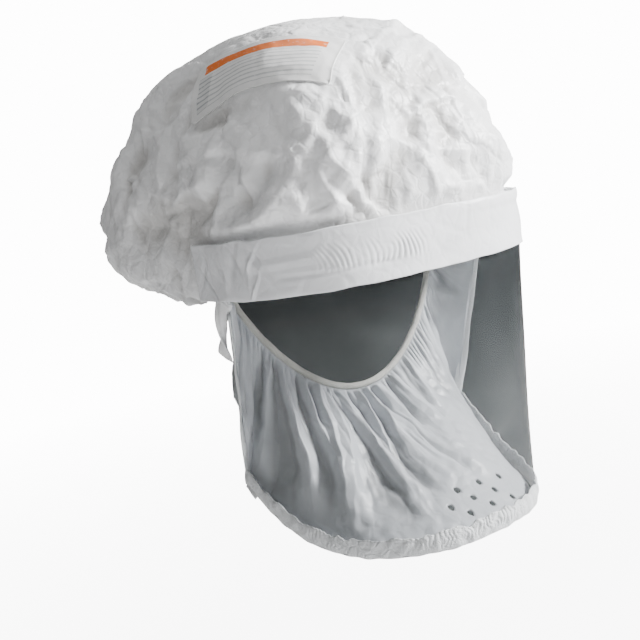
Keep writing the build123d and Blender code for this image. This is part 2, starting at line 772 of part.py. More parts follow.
socket_low = -neck_length - clip_height - 1.4
socket_head_low = flange_plate + flange_collar + 0.3
socket_head_radius = socket_radius + 5
ring_groove = -2.0
socket_barrel = tube(socket_radius, socket_bore_radius, socket_low, socket_head_low)
socket_head = tube(socket_head_radius, socket_bore_radius, socket_head_low, socket_length)
ring_groove_cut = tube(socket_radius + 1, socket_radius - 1.6, ring_groove - 1, ring_groove + 1)
clip_groove_cut = tube(socket_radius + 1, socket_radius - 1, -neck_length - clip_height - 0.3, -neck_length - 0.1)
button_z = (socket_head_low + socket_length) / 2
pocket_floor = socket_bore_radius + 1.7
with BuildPart() as tube_socket:
    add(socket_barrel)
    add(socket_head)
    add(ring_groove_cut, mode=Mode.SUBTRACT)
    add(clip_groove_cut, mode=Mode.SUBTRACT)
    for side in (-1, 1):
        pocket_plane = Plane(
            origin=inlet_plane(button_z).origin + Vector(side * pocket_floor, 0, 0),
            x_dir=inlet_plane(0).z_dir,
            z_dir=(side, 0, 0),
        )
        with BuildSketch(pocket_plane):
            Rectangle(button_size + 2 * slide_gap, button_size + 2 * slide_gap)
        extrude(amount=20, mode=Mode.SUBTRACT)
finish(tube_socket, "tube_socket")

with BuildPart() as socket_ring:
    with BuildSketch(Plane(origin=inlet_plane(ring_groove).origin, x_dir=(1, 0, 0), z_dir=inlet_plane(0).y_dir)):
        with Locations((socket_radius - 0.82, 0)):
            Circle(0.78)
    axis_out = Axis(inlet_plane(ring_groove).origin, inlet_plane(0).z_dir)
    revolve(axis=axis_out)
finish(socket_ring, "socket_ring")

with BuildPart() as socket_clip:
    add(tube(socket_radius + 1.6, socket_radius - 0.9, -neck_length - clip_height - 0.2, -neck_length - 0.2))
    with BuildSketch(inlet_plane(-neck_length - clip_height - 1)):
        with Locations((0, socket_radius)):
            Rectangle(5, 8)
    extrude(amount=clip_height + 2, mode=Mode.SUBTRACT)
finish(socket_clip, "socket_clip")

for side, name in ((-1, "latch_button_right"), (1, "latch_button_left")):
    foot = pocket_floor + button_travel + 1.0
    button_plane = Plane(
        origin=inlet_plane(button_z).origin + Vector(side * foot, 0, 0),
        x_dir=inlet_plane(0).z_dir,
        z_dir=(side, 0, 0),
    )
    with BuildPart() as latch_button:
        with BuildSketch(button_plane):
            RectangleRounded(button_size, button_size, 1)
        extrude(amount=socket_head_radius + button_travel + 0.6 - foot)
        fillet(latch_button.faces().sort_by(Axis.X)[0 if side < 0 else -1].edges(), 0.6)
    finish(latch_button, name)
    spring_plane = Plane(
        origin=inlet_plane(button_z).origin + Vector(side * pocket_floor, 0, 0),
        x_dir=inlet_plane(0).z_dir,
        z_dir=inlet_plane(0).y_dir,
    )
    with BuildPart() as latch_spring:
        with BuildSketch(spring_plane):
            with BuildLine():
                half = button_size / 2
                reach = side * 0.75
                Polyline((-half, 0), (-half, reach * 0.6), (0, reach), (half, reach * 0.6), (half, 0), close=True)
            make_face()
        extrude(amount=2, both=True)
    finish(latch_spring, name.replace("button", "spring"))

# ---- air duct over the head ----------------------------------------------------------------------
duct_start = 24.0
duct_end = 142.0
duct_lift = rivet_head + 2 * fabric_gap
duct_inner_y = arch_inner_y + strap_wall + duct_lift
duct_inner_z = long_rise + strap_wall + duct_lift


def duct_point(angle, lift):
    turn = radians(angle)
    out = Vector(cos(turn) / duct_inner_y, sin(turn) / duct_inner_z).normalized() * lift
    return (arch_mid_y + cos(turn) * duct_inner_y + out.X, arch_z + sin(turn) * duct_inner_z + out.Y)


def duct_block(low, high, half_width, extra):
    angles = [duct_start - extra + k * (duct_end - duct_start + 2 * extra) / 8 for k in range(9)]
    with BuildPart() as block:
        with BuildSketch(Plane.YZ):
            with BuildLine():
                under = Spline([duct_point(a, low) for a in angles])
                over = Spline([duct_point(a, high) for a in angles])
                Line(under @ 0, over @ 0)
                Line(under @ 1, over @ 1)
            make_face()
        extrude(amount=half_width, both=True)
    return block.part


duct_outside = duct_block(0, duct_height, duct_width / 2, 0)
duct_inside = duct_block(duct_wall, duct_height - duct_wall, duct_width / 2 - duct_wall, 1)
with BuildPart() as air_duct:
    add(duct_outside)
    add(duct_inside, mode=Mode.SUBTRACT)
finish(air_duct, "air_duct")

start_low = Vector(0, *duct_point(duct_start, 0))
start_high = Vector(0, *duct_point(duct_start, duct_height))
start_out = (start_high - start_low).normalized()
duct_back = Vector(1, 0, 0).cross(start_out)
elbow_round_end = -neck_length - 4.5


def elbow(radius, width, height):
    """A hose that starts round at the inlet's neck and ends flat at the duct."""
    mouth = (start_low + start_high) * 0.5 - duct_back * fabric_gap
    with BuildPart() as block:
        with BuildSketch(inlet_plane(elbow_round_end)):
            Circle(radius)
        with BuildSketch(Plane(origin=mouth, x_dir=(1, 0, 0), z_dir=duct_back * -1)):
            Ellipse(width / 2, height / 2)
        loft(ruled=True)
    return block.part


elbow_outside = elbow(neck_radius + 0.1 + duct_wall, duct_width, duct_height)
elbow_inside = elbow(neck_radius + 0.1, duct_width - 2 * duct_wall, duct_height - 2 * duct_wall)
elbow_cuff = tube(neck_radius + 0.1 + duct_wall, neck_radius + 0.1, elbow_round_end, nut_low - 0.2)
with BuildPart() as duct_elbow:
    add(elbow_outside)
    add(elbow_inside, mode=Mode.SUBTRACT)
    add(elbow_cuff)
finish(duct_elbow, "duct_elbow")

end_low = Vector(0, *duct_point(duct_end, 0))
end_high = Vector(0, *duct_point(duct_end, duct_height))
end_out = (end_high - end_low).normalized()
duct_front = Vector(1, 0, 0).cross(end_out)
with BuildPart() as duct_outlet:
    middle = (end_low + end_high) * 0.5 + duct_front * fabric_gap
    with BuildSketch(Plane(origin=middle, x_dir=(1, 0, 0), z_dir=duct_front)):
        RectangleRounded(duct_width + 4, duct_height, 3)
        RectangleRounded(duct_width - 2 * duct_wall, duct_height - 2 * duct_wall, 2, mode=Mode.SUBTRACT)
        for number in range(-2, 3):
            with Locations((number * duct_width / 6, 0)):
                Rectangle(1.6, duct_height)
    extrude(amount=4)
finish(duct_outlet, "duct_outlet")
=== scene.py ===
import json
import math
import bpy
import numpy as np
from mathutils import Matrix, Vector
from mathutils.bvhtree import BVHTree
from mathutils.geometry import delaunay_2d_cdt


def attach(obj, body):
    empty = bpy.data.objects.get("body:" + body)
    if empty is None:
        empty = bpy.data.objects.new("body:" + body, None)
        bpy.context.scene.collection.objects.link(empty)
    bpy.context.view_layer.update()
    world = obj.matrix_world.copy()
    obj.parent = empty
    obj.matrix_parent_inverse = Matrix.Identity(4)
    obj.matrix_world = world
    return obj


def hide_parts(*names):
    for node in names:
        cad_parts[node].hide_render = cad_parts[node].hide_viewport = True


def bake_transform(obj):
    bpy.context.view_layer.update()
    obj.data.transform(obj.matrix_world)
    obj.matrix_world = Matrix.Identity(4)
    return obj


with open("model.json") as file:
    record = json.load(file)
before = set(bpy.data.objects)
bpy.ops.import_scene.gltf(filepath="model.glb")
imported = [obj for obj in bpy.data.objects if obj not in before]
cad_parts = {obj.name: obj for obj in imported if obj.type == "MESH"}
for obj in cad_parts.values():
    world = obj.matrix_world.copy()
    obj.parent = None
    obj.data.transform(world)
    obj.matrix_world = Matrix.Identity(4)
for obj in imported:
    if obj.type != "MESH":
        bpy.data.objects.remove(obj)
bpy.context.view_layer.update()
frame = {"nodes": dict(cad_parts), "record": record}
print("frame loaded,", len(frame["nodes"]), "nodes")

# Shapes are worked out in millimetres, and turned into metres when a mesh is made.


class Wire:
    def __init__(self, paint, socket):
        self.paint = paint
        self.socket = socket

    def maths(self, operation, *values):
        return self.paint.node("ShaderNodeMath", {"operation": operation}, dict(enumerate(values)))

    def __add__(self, other):
        return self.maths("ADD", self, other)

    def __sub__(self, other):
        return self.maths("SUBTRACT", self, other)

    def __rsub__(self, other):
        return self.maths("SUBTRACT", other, self)

    def __mul__(self, other):
        return self.maths("MULTIPLY", self, other)

    def __lt__(self, other):
        return self.maths("LESS_THAN", self, other)

    def __gt__(self, other):
        return self.maths("GREATER_THAN", self, other)

    __radd__ = __add__
    __rmul__ = __mul__

    def wave(self, pitch):
        return self.maths("SINE", self * (2 * math.pi / pitch)) * 0.5 + 0.5


class Paint:
    def __init__(self, owner):
        # a material or a world, whose nodes it makes and joins
        owner.use_nodes = True
        self.owner = owner
        self.tree = owner.node_tree
        self.shader = self.tree.nodes.get("Principled BSDF")

    def node(self, kind, settings=None, values=None, output=0):
        made = self.tree.nodes.new(kind)
        for key, value in (settings or {}).items():
            if key == "stops":
                ramp = made.color_ramp
                for number, (place, colour) in enumerate(value):
                    stop = ramp.elements[number] if number < 2 else ramp.elements.new(place)
                    stop.position, stop.color = place, (*colour, 1)
            else:
                setattr(made, key, value)
        for key, value in (values or {}).items():
            self.feed(made.inputs[key], value)
        return Wire(self, made.outputs[output])

    def feed(self, socket, value):
        if isinstance(value, Wire):
            self.tree.links.new(value.socket, socket)
        else:
            colour = isinstance(value, tuple) and len(value) == 3 and socket.type == "RGBA"
            socket.default_value = (*value, 1) if colour else value

    def set(self, name, value):
        self.feed(self.shader.inputs[name], value)

    def end(self, outputName, value):
        self.feed(self.tree.nodes[outputName].inputs["Surface"], value)

    def place(self):
        return self.node("ShaderNodeTexCoord", output=3)

    def along(self, name):
        return self.node("ShaderNodeAttribute", {"attribute_name": name}, output=2)

    def noise(self, scale, detail=3.0, rough=0.5, warp=0.0):
        look = {"Scale": scale, "Detail": detail, "Roughness": rough, "Distortion": warp}
        return self.node("ShaderNodeTexNoise", {}, {"Vector": self.place(), **look})

    def cells(self, scale, feature="F1"):
        values = {"Vector": self.place(), "Scale": scale}
        return self.node("ShaderNodeTexVoronoi", {"feature": feature}, values)

    def ramp(self, value, low, high):
        values = {"Value": value, "From Min": low, "From Max": high}
        return self.node("ShaderNodeMapRange", {"interpolation_type": "SMOOTHSTEP"}, values)

    def mixed(self, mask, first, second):
        return self.node("ShaderNodeMix", {"data_type": "RGBA"}, {0: mask, 6: first, 7: second}, output=2)

    def bump(self, height, distance, strength=1.0):
        values = {"Height": height, "Distance": distance, "Strength": strength}
        self.set("Normal", self.node("ShaderNodeBump", {}, values))


def newPaint(name):
    return Paint(bpy.data.materials.new(name))


def fabricPaint(name, light, dark, rough, crinkle, fibre, depth):
    paint = newPaint(name)
    broad = paint.noise(14, 4, 0.6)
    # painted shade: the per-point value read here is lower in the fold valleys, so the dark colour goes into
    # them, mixed with a broad random tone
    foldShade = paint.along("foldShade")
    toneAndShade = paint.ramp(broad * 0.22 + foldShade * 0.78, 0.18, 0.58)
    paint.set("Base Color", paint.mixed(toneAndShade, dark, light))
    paint.set("Roughness", paint.noise(60, 2) * 0.16 + (rough - 0.08))
    paint.set("Specular IOR Level", 0.42)
    paint.set("Sheen Weight", 0.12)
    paint.set("Sheen Roughness", 0.5)
    soft = paint.noise(crinkle, 3, 0.5, 0.6)
    crease = paint.ramp(paint.cells(crinkle * 0.9, "DISTANCE_TO_EDGE"), 0, 0.16)
    crease = crease * paint.ramp(broad, 0.35, 0.6)
    fine = paint.ramp(paint.cells(crinkle * 2.1, "DISTANCE_TO_EDGE"), 0, 0.2)
    threads = paint.noise(fibre, 2, 0.5)
    paint.bump(soft * 0.34 + crease * 0.45 + fine * 0.15 + threads * 0.07, depth)
    return paint.owner


def mouldedPaint(name, colour, rough, grain, depth):
    paint = newPaint(name)
    worn = paint.ramp(paint.noise(35, 4, 0.65), 0.45, 0.75)
    lighter = tuple(min(1, c * 1.35 + 0.012) for c in colour)
    paint.set("Base Color", paint.mixed(worn, colour, lighter))
    paint.set("Roughness", paint.noise(90, 3) * 0.2 + (rough - 0.1))
    paint.bump(paint.cells(grain) + paint.noise(grain * 2, 2) * 0.5, depth)
    return paint.owner


def elasticPaint():
    paint = newPaint("knittedElastic")
    ribs = paint.along("across").wave(0.0011)
    knit = paint.along("along").wave(0.0009)
    paint.set("Base Color", paint.mixed(paint.noise(120, 3), (0.40, 0.40, 0.365), (0.58, 0.58, 0.54)))
    paint.set("Roughness", paint.noise(200, 2) * 0.15 + 0.62)
    paint.set("Sheen Weight", 0.25)
    paint.bump(ribs * 0.6 + ribs * knit * 0.5 + paint.noise(400, 2) * 0.4, 0.0003)
    return paint.owner


def filmPaint():
    paint = newPaint("clearFilm")
    smear = paint.ramp(paint.noise(16, 5, 0.65, 0.8), 0.45, 0.8)
    streak = paint.ramp(paint.noise(7, 3, 0.5, 2.0), 0.5, 0.75)
    paint.set("Base Color", paint.mixed(smear, (0.10, 0.11, 0.115), (0.26, 0.28, 0.285)))
    paint.set("Roughness", smear * 0.14 + 0.07)
    paint.set("Alpha", smear * 0.035 + streak * 0.03 + 0.09)
    paint.set("Specular IOR Level", 0.6)
    paint.bump(paint.noise(22, 3, 0.5), 0.0004, 0.6)
    return paint.owner


def labelPaint(length, height):
    paint = newPaint("writeOnPatch")
    across, along = paint.along("across"), paint.along("along")
    bar = (across > height - 0.0125) * (across < height - 0.0045)
    bar = bar * (along > 0.010) * (along < length - 0.004)
    printed = paint.ramp(paint.noise(260, 3, 0.7), 0.2, 0.45)
    inside = (across < height - 0.0145) * (across > 0.0045) * (along > 0.006) * (along < length - 0.006)
    line = (across.wave(0.0036) > 0.72) * inside
    block = (across < height - 0.0145) * (across > 0.005) * (along > 0.006) * (along < 0.018)
    paper = paint.mixed(paint.noise(30, 3), (0.80, 0.80, 0.79), (0.90, 0.90, 0.895))
    ruled = paint.mixed(line * printed * 0.5 + block * 0.25, paper, (0.30, 0.315, 0.33))
    paint.set("Base Color", paint.mixed(bar * printed, ruled, (0.80, 0.17, 0.018)))
    paint.set("Roughness", paint.noise(80, 2) * 0.15 + 0.42)
    paint.bump(paint.noise(150, 4, 0.6), 0.0003, 0.7)
    return paint.owner


def webPaint(name, colour, pitch):
    paint = newPaint(name)
    weft, warp = paint.along("along").wave(pitch), paint.along("across").wave(pitch * 1.15)
    weave = weft * warp + (1 - weft) * (1 - warp)
    brighter = tuple(c * 1.7 for c in colour)
    paint.set("Base Color", paint.mixed(weave * 0.7 + paint.noise(60, 3) * 0.3, colour, brighter))
    paint.set("Roughness", 0.78 + paint.noise(150, 2) * 0.12)
    paint.set("Sheen Weight", 0.2)
    paint.bump(weave + paint.noise(900, 2) * 0.3, pitch * 0.22)
    return paint.owner


def steelPaint():
    paint = newPaint("platedSteel")
    scratch = paint.noise(500, 3, 0.7)
    paint.set("Base Color", paint.mixed(paint.noise(40, 3), (0.50, 0.50, 0.51), (0.66, 0.66, 0.67)))
    paint.set("Metallic", 1.0)
    paint.set("Roughness", scratch * 0.22 + 0.2)
    paint.bump(scratch, 0.00005)
    return paint.owner


paints = {
    "white_fabric": fabricPaint("crownFabric", (0.87, 0.875, 0.88), (0.67, 0.663, 0.65),
        0.42, 70, 900, 0.0009),
    "band_fabric": fabricPaint("bandFabric", (0.82, 0.83, 0.85), (0.60, 0.61, 0.625),
        0.42, 50, 1200, 0.0006),
    # painted shade: the hem's cloth is given darker grey colours for the shade low on the hood
    "hem_fabric": fabricPaint("hemFabricInShade", (0.56, 0.575, 0.585), (0.34, 0.35, 0.352),
        0.5, 160, 1200, 0.0009),
    # painted shade: the seal's cloth, white in itself, is given grey colours for the shade under the band
    # and behind the film
    "seal_fabric": fabricPaint("sealFabricInShade", (0.45, 0.472, 0.50), (0.25, 0.262, 0.275),
        0.4, 50, 1300, 0.0007),
    "elastic": elasticPaint(),
    "clear_film": filmPaint(),
    "label": labelPaint(0.102, 0.044),
    "harness_plastic": mouldedPaint("harnessPlastic", (0.030, 0.033, 0.036), 0.5, 900, 0.00008),
    "strap_web": webPaint("strapWebbing", (0.035, 0.038, 0.042), 0.0016),
    "foam": mouldedPaint("coveredFoam", (0.075, 0.08, 0.09), 0.85, 1100, 0.00025),
    "ratchet_plastic": mouldedPaint("ratchetPlastic", (0.022, 0.022, 0.025), 0.45, 1200, 0.00006),
    "knob_plastic": mouldedPaint("gripPlastic", (0.014, 0.014, 0.016), 0.72, 1500, 0.0001),
    "steel": steelPaint(),
    "inlet_plastic": mouldedPaint("inletPlastic", (0.018, 0.02, 0.023), 0.4, 1000, 0.00006),
    "rubber": mouldedPaint("sealRubber", (0.008, 0.008, 0.008), 0.8, 1400, 0.00005),
    "button_plastic": mouldedPaint("buttonPlastic", (0.52, 0.16, 0.03), 0.3, 1200, 0.00003),
    "duct_film": fabricPaint("ductFilm", (0.74, 0.76, 0.78), (0.55, 0.575, 0.6),
        0.35, 120, 1100, 0.0005),
}
print("materials made,", len(paints))


def smooth(value, low, high):
    t = np.clip((value - low) / (high - low), 0, 1)
    return t * t * (3 - 2 * t)


def pairs(first, second):
    return np.stack([first, second], axis=-1)


def reachAlong(line):
    # how far along a line each of its points is
    return np.concatenate([[0], np.cumsum(np.linalg.norm(np.diff(line, axis=0), axis=1))])


def relax(grid, times):
    for _ in range(times):
        padded = np.pad(grid, 1, mode="edge")
        grid = (padded[:-2, 1:-1] + padded[2:, 1:-1] + padded[1:-1, :-2] + padded[1:-1, 2:]) / 4
    return grid


def squarish(turn, halfWide, halfHigh, widePower, highPower):
    # a closed loop between an oval and a box
    c, s = np.cos(turn), np.sin(turn)
    return pairs(np.sign(c) * np.abs(c) ** widePower * halfWide,
        np.sign(s) * np.abs(s) ** highPower * halfHigh)


def unit(vectors):
    return vectors / np.maximum(np.linalg.norm(vectors, axis=-1, keepdims=True), 1e-9)


def ripple(points, pitch, seed, count=10):
    # a soft random field of about -1 to 1, from waves in random directions
    dice = np.random.default_rng(seed)
    total = np.zeros(points.shape[:-1])
    for _ in range(count):
        way = dice.normal(size=points.shape[-1])
        way *= 2 * math.pi / pitch * dice.uniform(0.6, 1.4) / np.linalg.norm(way)
        total += np.sin(points @ way + dice.uniform(0, 2 * math.pi))
    return total / math.sqrt(count)


def gridNormals(points, closed=False):
    down = np.gradient(points, axis=0)
    if closed:
        over = (np.roll(points, -1, axis=1) - np.roll(points, 1, axis=1)) / 2
    else:
        over = np.gradient(points, axis=1)
    return unit(np.cross(over, down))


def facing(normals, row, column, way):
    # the same normals, or their opposites if the one at this row and column points against the way
    return -normals if normals[row, column] @ np.array(way, float) < 0 else normals


def gridLengths(points):
    down = np.linalg.norm(np.diff(points, axis=0), axis=2)
    over = np.linalg.norm(np.diff(points, axis=1), axis=2)
    down = np.vstack([np.zeros((1, points.shape[1])), np.cumsum(down, axis=0)])
    over = np.hstack([np.zeros((points.shape[0], 1)), np.cumsum(over, axis=1)])
    return down, over


def buildMesh(name, slotName, points, faces, facts=None):
    mesh = bpy.data.meshes.new(name)
    mesh.from_pydata((points * 0.001).tolist(), [], faces)
    for key, values in (facts or {}).items():
        mesh.attributes.new(key, "FLOAT", "POINT").data.foreach_set("value",
            values.astype(np.float32).ravel())
    mesh.polygons.foreach_set("use_smooth", [True] * len(mesh.polygons))
    mesh.validate()
    piece = bpy.data.objects.new(name, mesh)
    bpy.context.scene.collection.objects.link(piece)
    mesh.materials.append(paints[slotName])
    return piece


def gridFaces(rows, columns, closed=False, keep=None):
    r, c = np.meshgrid(np.arange(rows - 1), np.arange(columns if closed else columns - 1), indexing="ij")
    r, c = r.ravel(), c.ravel()
    after = (c + 1) % columns
    faces = np.stack([r * columns + c, r * columns + after, (r + 1) * columns + after,
        (r + 1) * columns + c], axis=1)
    return faces if keep is None else faces[keep(faces)]


def gridPiece(name, slotName, points, closed=False, keep=None, foldShade=None, cap=False):
    rows, columns = points.shape[:2]
    flat = points.reshape(-1, 3)
    down, over = gridLengths(points)
    facts = {"along": over * 0.001, "across": down * 0.001,
        "foldShade": np.full(over.shape, 0.7) if foldShade is None else foldShade}
    faces = gridFaces(rows, columns, closed, keep).tolist()
    if cap:
        flat = np.vstack([flat, flat[-columns:].mean(axis=0)])
        facts = {key: np.append(values.ravel(), values.ravel()[-1]) for key, values in facts.items()}
        last, top = (rows - 1) * columns, rows * columns
        faces += [[last + c, last + (c + 1) % columns, top] for c in range(columns)]
    return buildMesh(name, slotName, flat, faces, facts)


def thicken(piece, thickness, offset=-1.0):
    walls = piece.modifiers.new("wall", "SOLIDIFY")
    walls.thickness = thickness * 0.001
    walls.offset = offset
    walls.use_even_offset = False


def resample(line, count, ring=False):
    closed = np.vstack([line, line[:1]]) if ring else line
    reach = reachAlong(closed)
    at = np.linspace(0, reach[-1], count, endpoint=not ring)
    return np.stack([np.interp(at, reach, closed[:, k]) for k in range(line.shape[1])], axis=1)


def sweepPiece(name, slotName, path, sideWay, section, foldShade=None, growth=None, swirl=None):
    # a closed section, given as (sideways, outwards) pairs, carried along a path
    path, section = np.asarray(path, float), np.asarray(section, float)
    forward = unit(np.gradient(path, axis=0))
    sideWay = unit(np.broadcast_to(np.asarray(sideWay, float), path.shape) + 0.0)
    sideWay = unit(sideWay - (sideWay * forward).sum(1, keepdims=True) * forward)
    outWay = np.cross(forward, sideWay)
    sizes = np.ones((len(path), 2)) if growth is None else np.asarray(growth, float)
    turn = np.zeros(len(path)) if swirl is None else np.asarray(swirl, float)
    rows = []
    for place, side, out, size, angle in zip(path, sideWay, outWay, sizes, turn):
        c, s = math.cos(angle), math.sin(angle)
        a, b = section[:, 0] * size[0], section[:, 1] * size[1]
        rows.append(place + np.outer(a * c - b * s, side) + np.outer(a * s + b * c, out))
    points = np.array(rows)
    count, corners = points.shape[:2]
    down, over = gridLengths(points)
    faces = gridFaces(count, corners, True).tolist()
    faces.append(list(range(corners))[::-1])
    faces.append([(count - 1) * corners + k for k in range(corners)])
    facts = {"along": down * 0.001, "across": over * 0.001,
        "foldShade": np.full(over.shape, 0.7) if foldShade is None else foldShade}
    return buildMesh(name, slotName, points.reshape(-1, 3), faces, facts)


def flatSection(width, thick, corner=0.3, lip=0.0, steps=14):
    # a flat strap's section with rounded corners and slightly raised edges
    half = width / 2 - corner
    across = np.linspace(-half, half, steps)
    rise = thick / 2 + lip * smooth(np.abs(across), half - 2.2, half - 0.4)
    top = pairs(across, rise)
    right = [[half + corner, rise[-1] - corner * 0.7], [half + corner, -rise[-1] + corner * 0.7]]
    return np.vstack([top, right, pairs(across[::-1], -rise[::-1]),
        [[-half - corner, right[1][1]], [-half - corner, right[0][1]]]])


def roundSection(radius, steps=14):
    turn = np.linspace(0, 2 * math.pi, steps, endpoint=False)
    return pairs(np.cos(turn), np.sin(turn)) * radius


crown = {
    "levels": [  # height, half width, front and rear
        (9, 103, -107.5, 172), (20, 106.5, -109.3, 204), (38, 107.3, -109.8, 218), (58, 108, -109.5, 219),
        (82, 104, -106, 207), (106, 95, -98, 188), (130, 85, -84, 164), (149, 67, -60, 133),
        (159, 50, -41, 108), (165, 34, -24, 86), (168, 18, -9, 66), (169, 3, 20, 36),
    ],
    "frontShare": 0.42, "frontRound": 3.0, "rearRound": 2.35,
    "bulge": 0.17, "bulgeY": 115, "bulgeReach": 60, "top": 168,
    "neck": (88, 107), "neckY": 5, "neckZ": 9.4,
    "columns": 470, "rows": 210, "underRows": 20,
    "wall": 0.7, "crumple": 1.0,
    "facets": [(120, 5.2, 4.0), (460, 3.2, 1.2), (1500, 1.35, 0.4)],  # count, height, waviness
    "creaseCount": 420, "creaseReach": 4.2, "creaseHeight": 1.5,
    "bandTop": 36, "labelClear": 0.3, "labelLong": (50, 60), "labelTall": (21, 31),
    "settle": 0.5, "slim": 0.07, "droop": 13.0,
}
inlet = {"seat": (0, 200.5, 34.3), "tilt": 50, "hole": 24.0, "flat": 31, "ease": 16, "flush": 20,
    "endReach": 75}

# big folds: points they pass through, height, and reach on each side
bigFolds = [
    ([(-97, -34, 91), (-95, -39, 93), (-90, -64, 85), (-79, -83, 80)], 4.2, 13),
    ([(-89, -68, 84), (-89, -72, 72), (-91, -71, 65), (-95, -65, 60), (-101, -47, 50), (-104, -31, 44)],
        -6.0, 12),
    ([(-84, -82, 58), (-96, -62, 46), (-103, -37, 36)], 4.6, 11),
    ([(-75, -82, 90), (-80, -84, 70), (-81, -85, 52), (-79, -88, 46), (-64, -99, 42)], 3.0, 10),
    ([(-108, 26, 63), (-107, 16, 66), (-106, 0, 71), (-104, -25, 72), (-97, -54, 72)], 5.0, 13),
    ([(-107, 16, 66), (-108, 13, 54), (-108, 14, 40)], -5.0, 9),
    ([(-102, -34, 73), (-104, -27, 65), (-106, -20, 52)], -4.6, 8),
    ([(-103, -39, 61), (-106, -19, 50)], 3.2, 6),
    ([(-92, 68, 113), (-99, 79, 99), (-103, 90, 80)], -5.0, 16),
    ([(-71, -74, 111), (-70, -85, 94), (-63, -97, 75), (-59, -101, 61), (-50, -105, 50)], 3.4, 9),
    ([(-74, -88, 76), (-68, -96, 58), (-64, -99, 46), (-54, -103, 41)], 3.2, 7),
    ([(-65, -97, 68), (-58, -102, 49), (-50, -105, 41)], -2.6, 7),
    ([(-84, -82, 60), (-99, -54, 47), (-107, -5, 41)], 4.0, 12),
    ([(-54, -104, 56), (-52, -104, 47), (-44, -106, 40)], 2.4, 5),
    ([(-31, -105, 80), (-41, -106, 67), (-42, -106, 52)], 3.0, 9),
    ([(0, -99, 101), (6, -106, 81), (-3, -108, 64), (8, -110, 45)], 3.4, 14),
    ([(29, -104, 85), (10, -108, 69), (21, -109, 48)], -2.8, 12),
    ([(-83, 77, 129), (-99, 35, 99), (-107, 36, 74)], 3.2, 15),
    ([(-50, -89, 110), (-37, -98, 99), (-8, -99, 102)], -2.8, 12),
    ([(-113, 93, 62), (-112, 53, 49), (-108, 15, 40)], -3.6, 12),
    ([(-103, -21, 84), (-97, 9, 104), (-93, 48, 113)], 3.0, 12),
    ([(-112, 60, 70), (-114, 100, 45), (-108, 130, 30)], 4.4, 14),
    ([(-100, 120, 92), (-108, 118, 60), (-106, 128, 32)], -4.6, 12),
    ([(-70, 150, 110), (-88, 150, 75), (-92, 150, 40)], 4.2, 13),
    ([(40, -106, 70), (62, -98, 60), (84, -80, 56)], 3.2, 12),
    ([(70, -70, 110), (84, -72, 86), (92, -64, 56)], -3.6, 12),
    ([(100, -20, 90), (106, 0, 66), (107, 20, 42)], 4.4, 12),
    ([(96, 30, 112), (104, 60, 84), (108, 84, 50)], -4.6, 13),
    ([(92, 90, 112), (104, 104, 80), (104, 120, 40)], 4.4, 13),
    ([(70, 150, 108), (84, 150, 76), (90, 148, 40)], -4.2, 12),
    ([(20, 195, 96), (34, 196, 74), (52, 190, 50)], 3.8, 12),
    ([(-24, 196, 94), (-40, 196, 70), (-56, 188, 46)], -3.8, 12),
    ([(-14, 176, 130), (4, 170, 134), (26, 160, 136)], 3.2, 12),
    ([(0, 60, 168), (30, 30, 164), (56, -10, 150)], 2.6, 13),
    ([(10, 110, 158), (-20, 80, 164), (-40, 50, 160)], -2.4, 12),
]


def crownOutline(z, halfWidth, frontY, rearY, count):
    turn = np.linspace(0, math.pi, 700)
    turn = turn - 0.5 * np.sin(2 * turn) * 0.9  # closer together at the front and rear
    widest = frontY + crown["frontShare"] * (rearY - frontY)
    ahead = -np.cos(turn)
    power = np.where(ahead < 0, crown["frontRound"], crown["rearRound"])
    y = widest + ahead * np.where(ahead < 0, widest - frontY, rearY - widest)
    behind = np.exp(-(((y - crown["bulgeY"]) / crown["bulgeReach"]) ** 2))
    swell = 1 + crown["bulge"] * (1 - z / crown["top"]) * behind
    x = halfWidth * (1 - np.minimum(1, np.abs(ahead)) ** power) ** (1 / power) * swell
    left = pairs(x, y)
    right = pairs(-x[::-1], y[::-1])
    whole = np.vstack([left, right[1:-1]])
    return resample(whole, count, ring=True)


def smoothLevels(levels, count):
    table = np.array(levels, float)
    change = np.abs(np.diff(table, axis=0))
    step = change[:, 0] + 0.35 * (change[:, 1] + change[:, 2] + change[:, 3])
    at = np.concatenate([[0], np.cumsum(step)])
    slope = np.gradient(table, at, axis=0)
    place = np.linspace(0, at[-1], count)
    k = np.clip(np.searchsorted(at, place, side="right") - 1, 0, len(at) - 2)
    width = (at[k + 1] - at[k])[:, None]
    t = (place - at[k])[:, None] / width
    return ((2 * t**3 - 3 * t**2 + 1) * table[k] + (t**3 - 2 * t**2 + t) * width * slope[k]
            + (3 * t**2 - 2 * t**3) * table[k + 1] + (t**3 - t**2) * width * slope[k + 1])


def crownBase():
    columns = crown["columns"]
    rows = smoothLevels(crown["levels"], crown["rows"])
    rings = []
    lowest = crownOutline(*rows[0], columns)
    turn = np.arctan2(lowest[:, 1] - crown["neckY"], lowest[:, 0])
    a, b = crown["neck"]
    size = 1 / np.sqrt((np.cos(turn) / a) ** 2 + (np.sin(turn) / b) ** 2)
    rim = pairs(np.cos(turn) * size, np.sin(turn) * size + crown["neckY"])
    for share in np.linspace(0, 1, crown["underRows"], endpoint=False):
        flat = rim * (1 - share) + lowest * share
        rings.append(np.column_stack([flat, np.full(columns, crown["neckZ"] - 0.4 * share)]))
    for row in rows:
        rings.append(np.column_stack([crownOutline(*row, columns), np.full(columns, row[0])]))
    return np.array(rings)


def nearLine(points, line):
    # the distance to a broken line, and how far along it the nearest place is, from 0 to 1
    line = np.array(line, float)
    best = np.full(len(points), 1e9)
    share = np.zeros(len(points))
    lengths = np.linalg.norm(np.diff(line, axis=0), axis=1)
    start, total = 0.0, lengths.sum()
    for a, b, length in zip(line[:-1], line[1:], lengths):
        t = np.clip((points - a) @ (b - a) / length**2, 0, 1)
        away = np.linalg.norm(points - a - t[:, None] * (b - a), axis=1)
        closer = away < best
        best = np.where(closer, away, best)
        share = np.where(closer, (start + t * length) / total, share)
        start += length
    return best, share


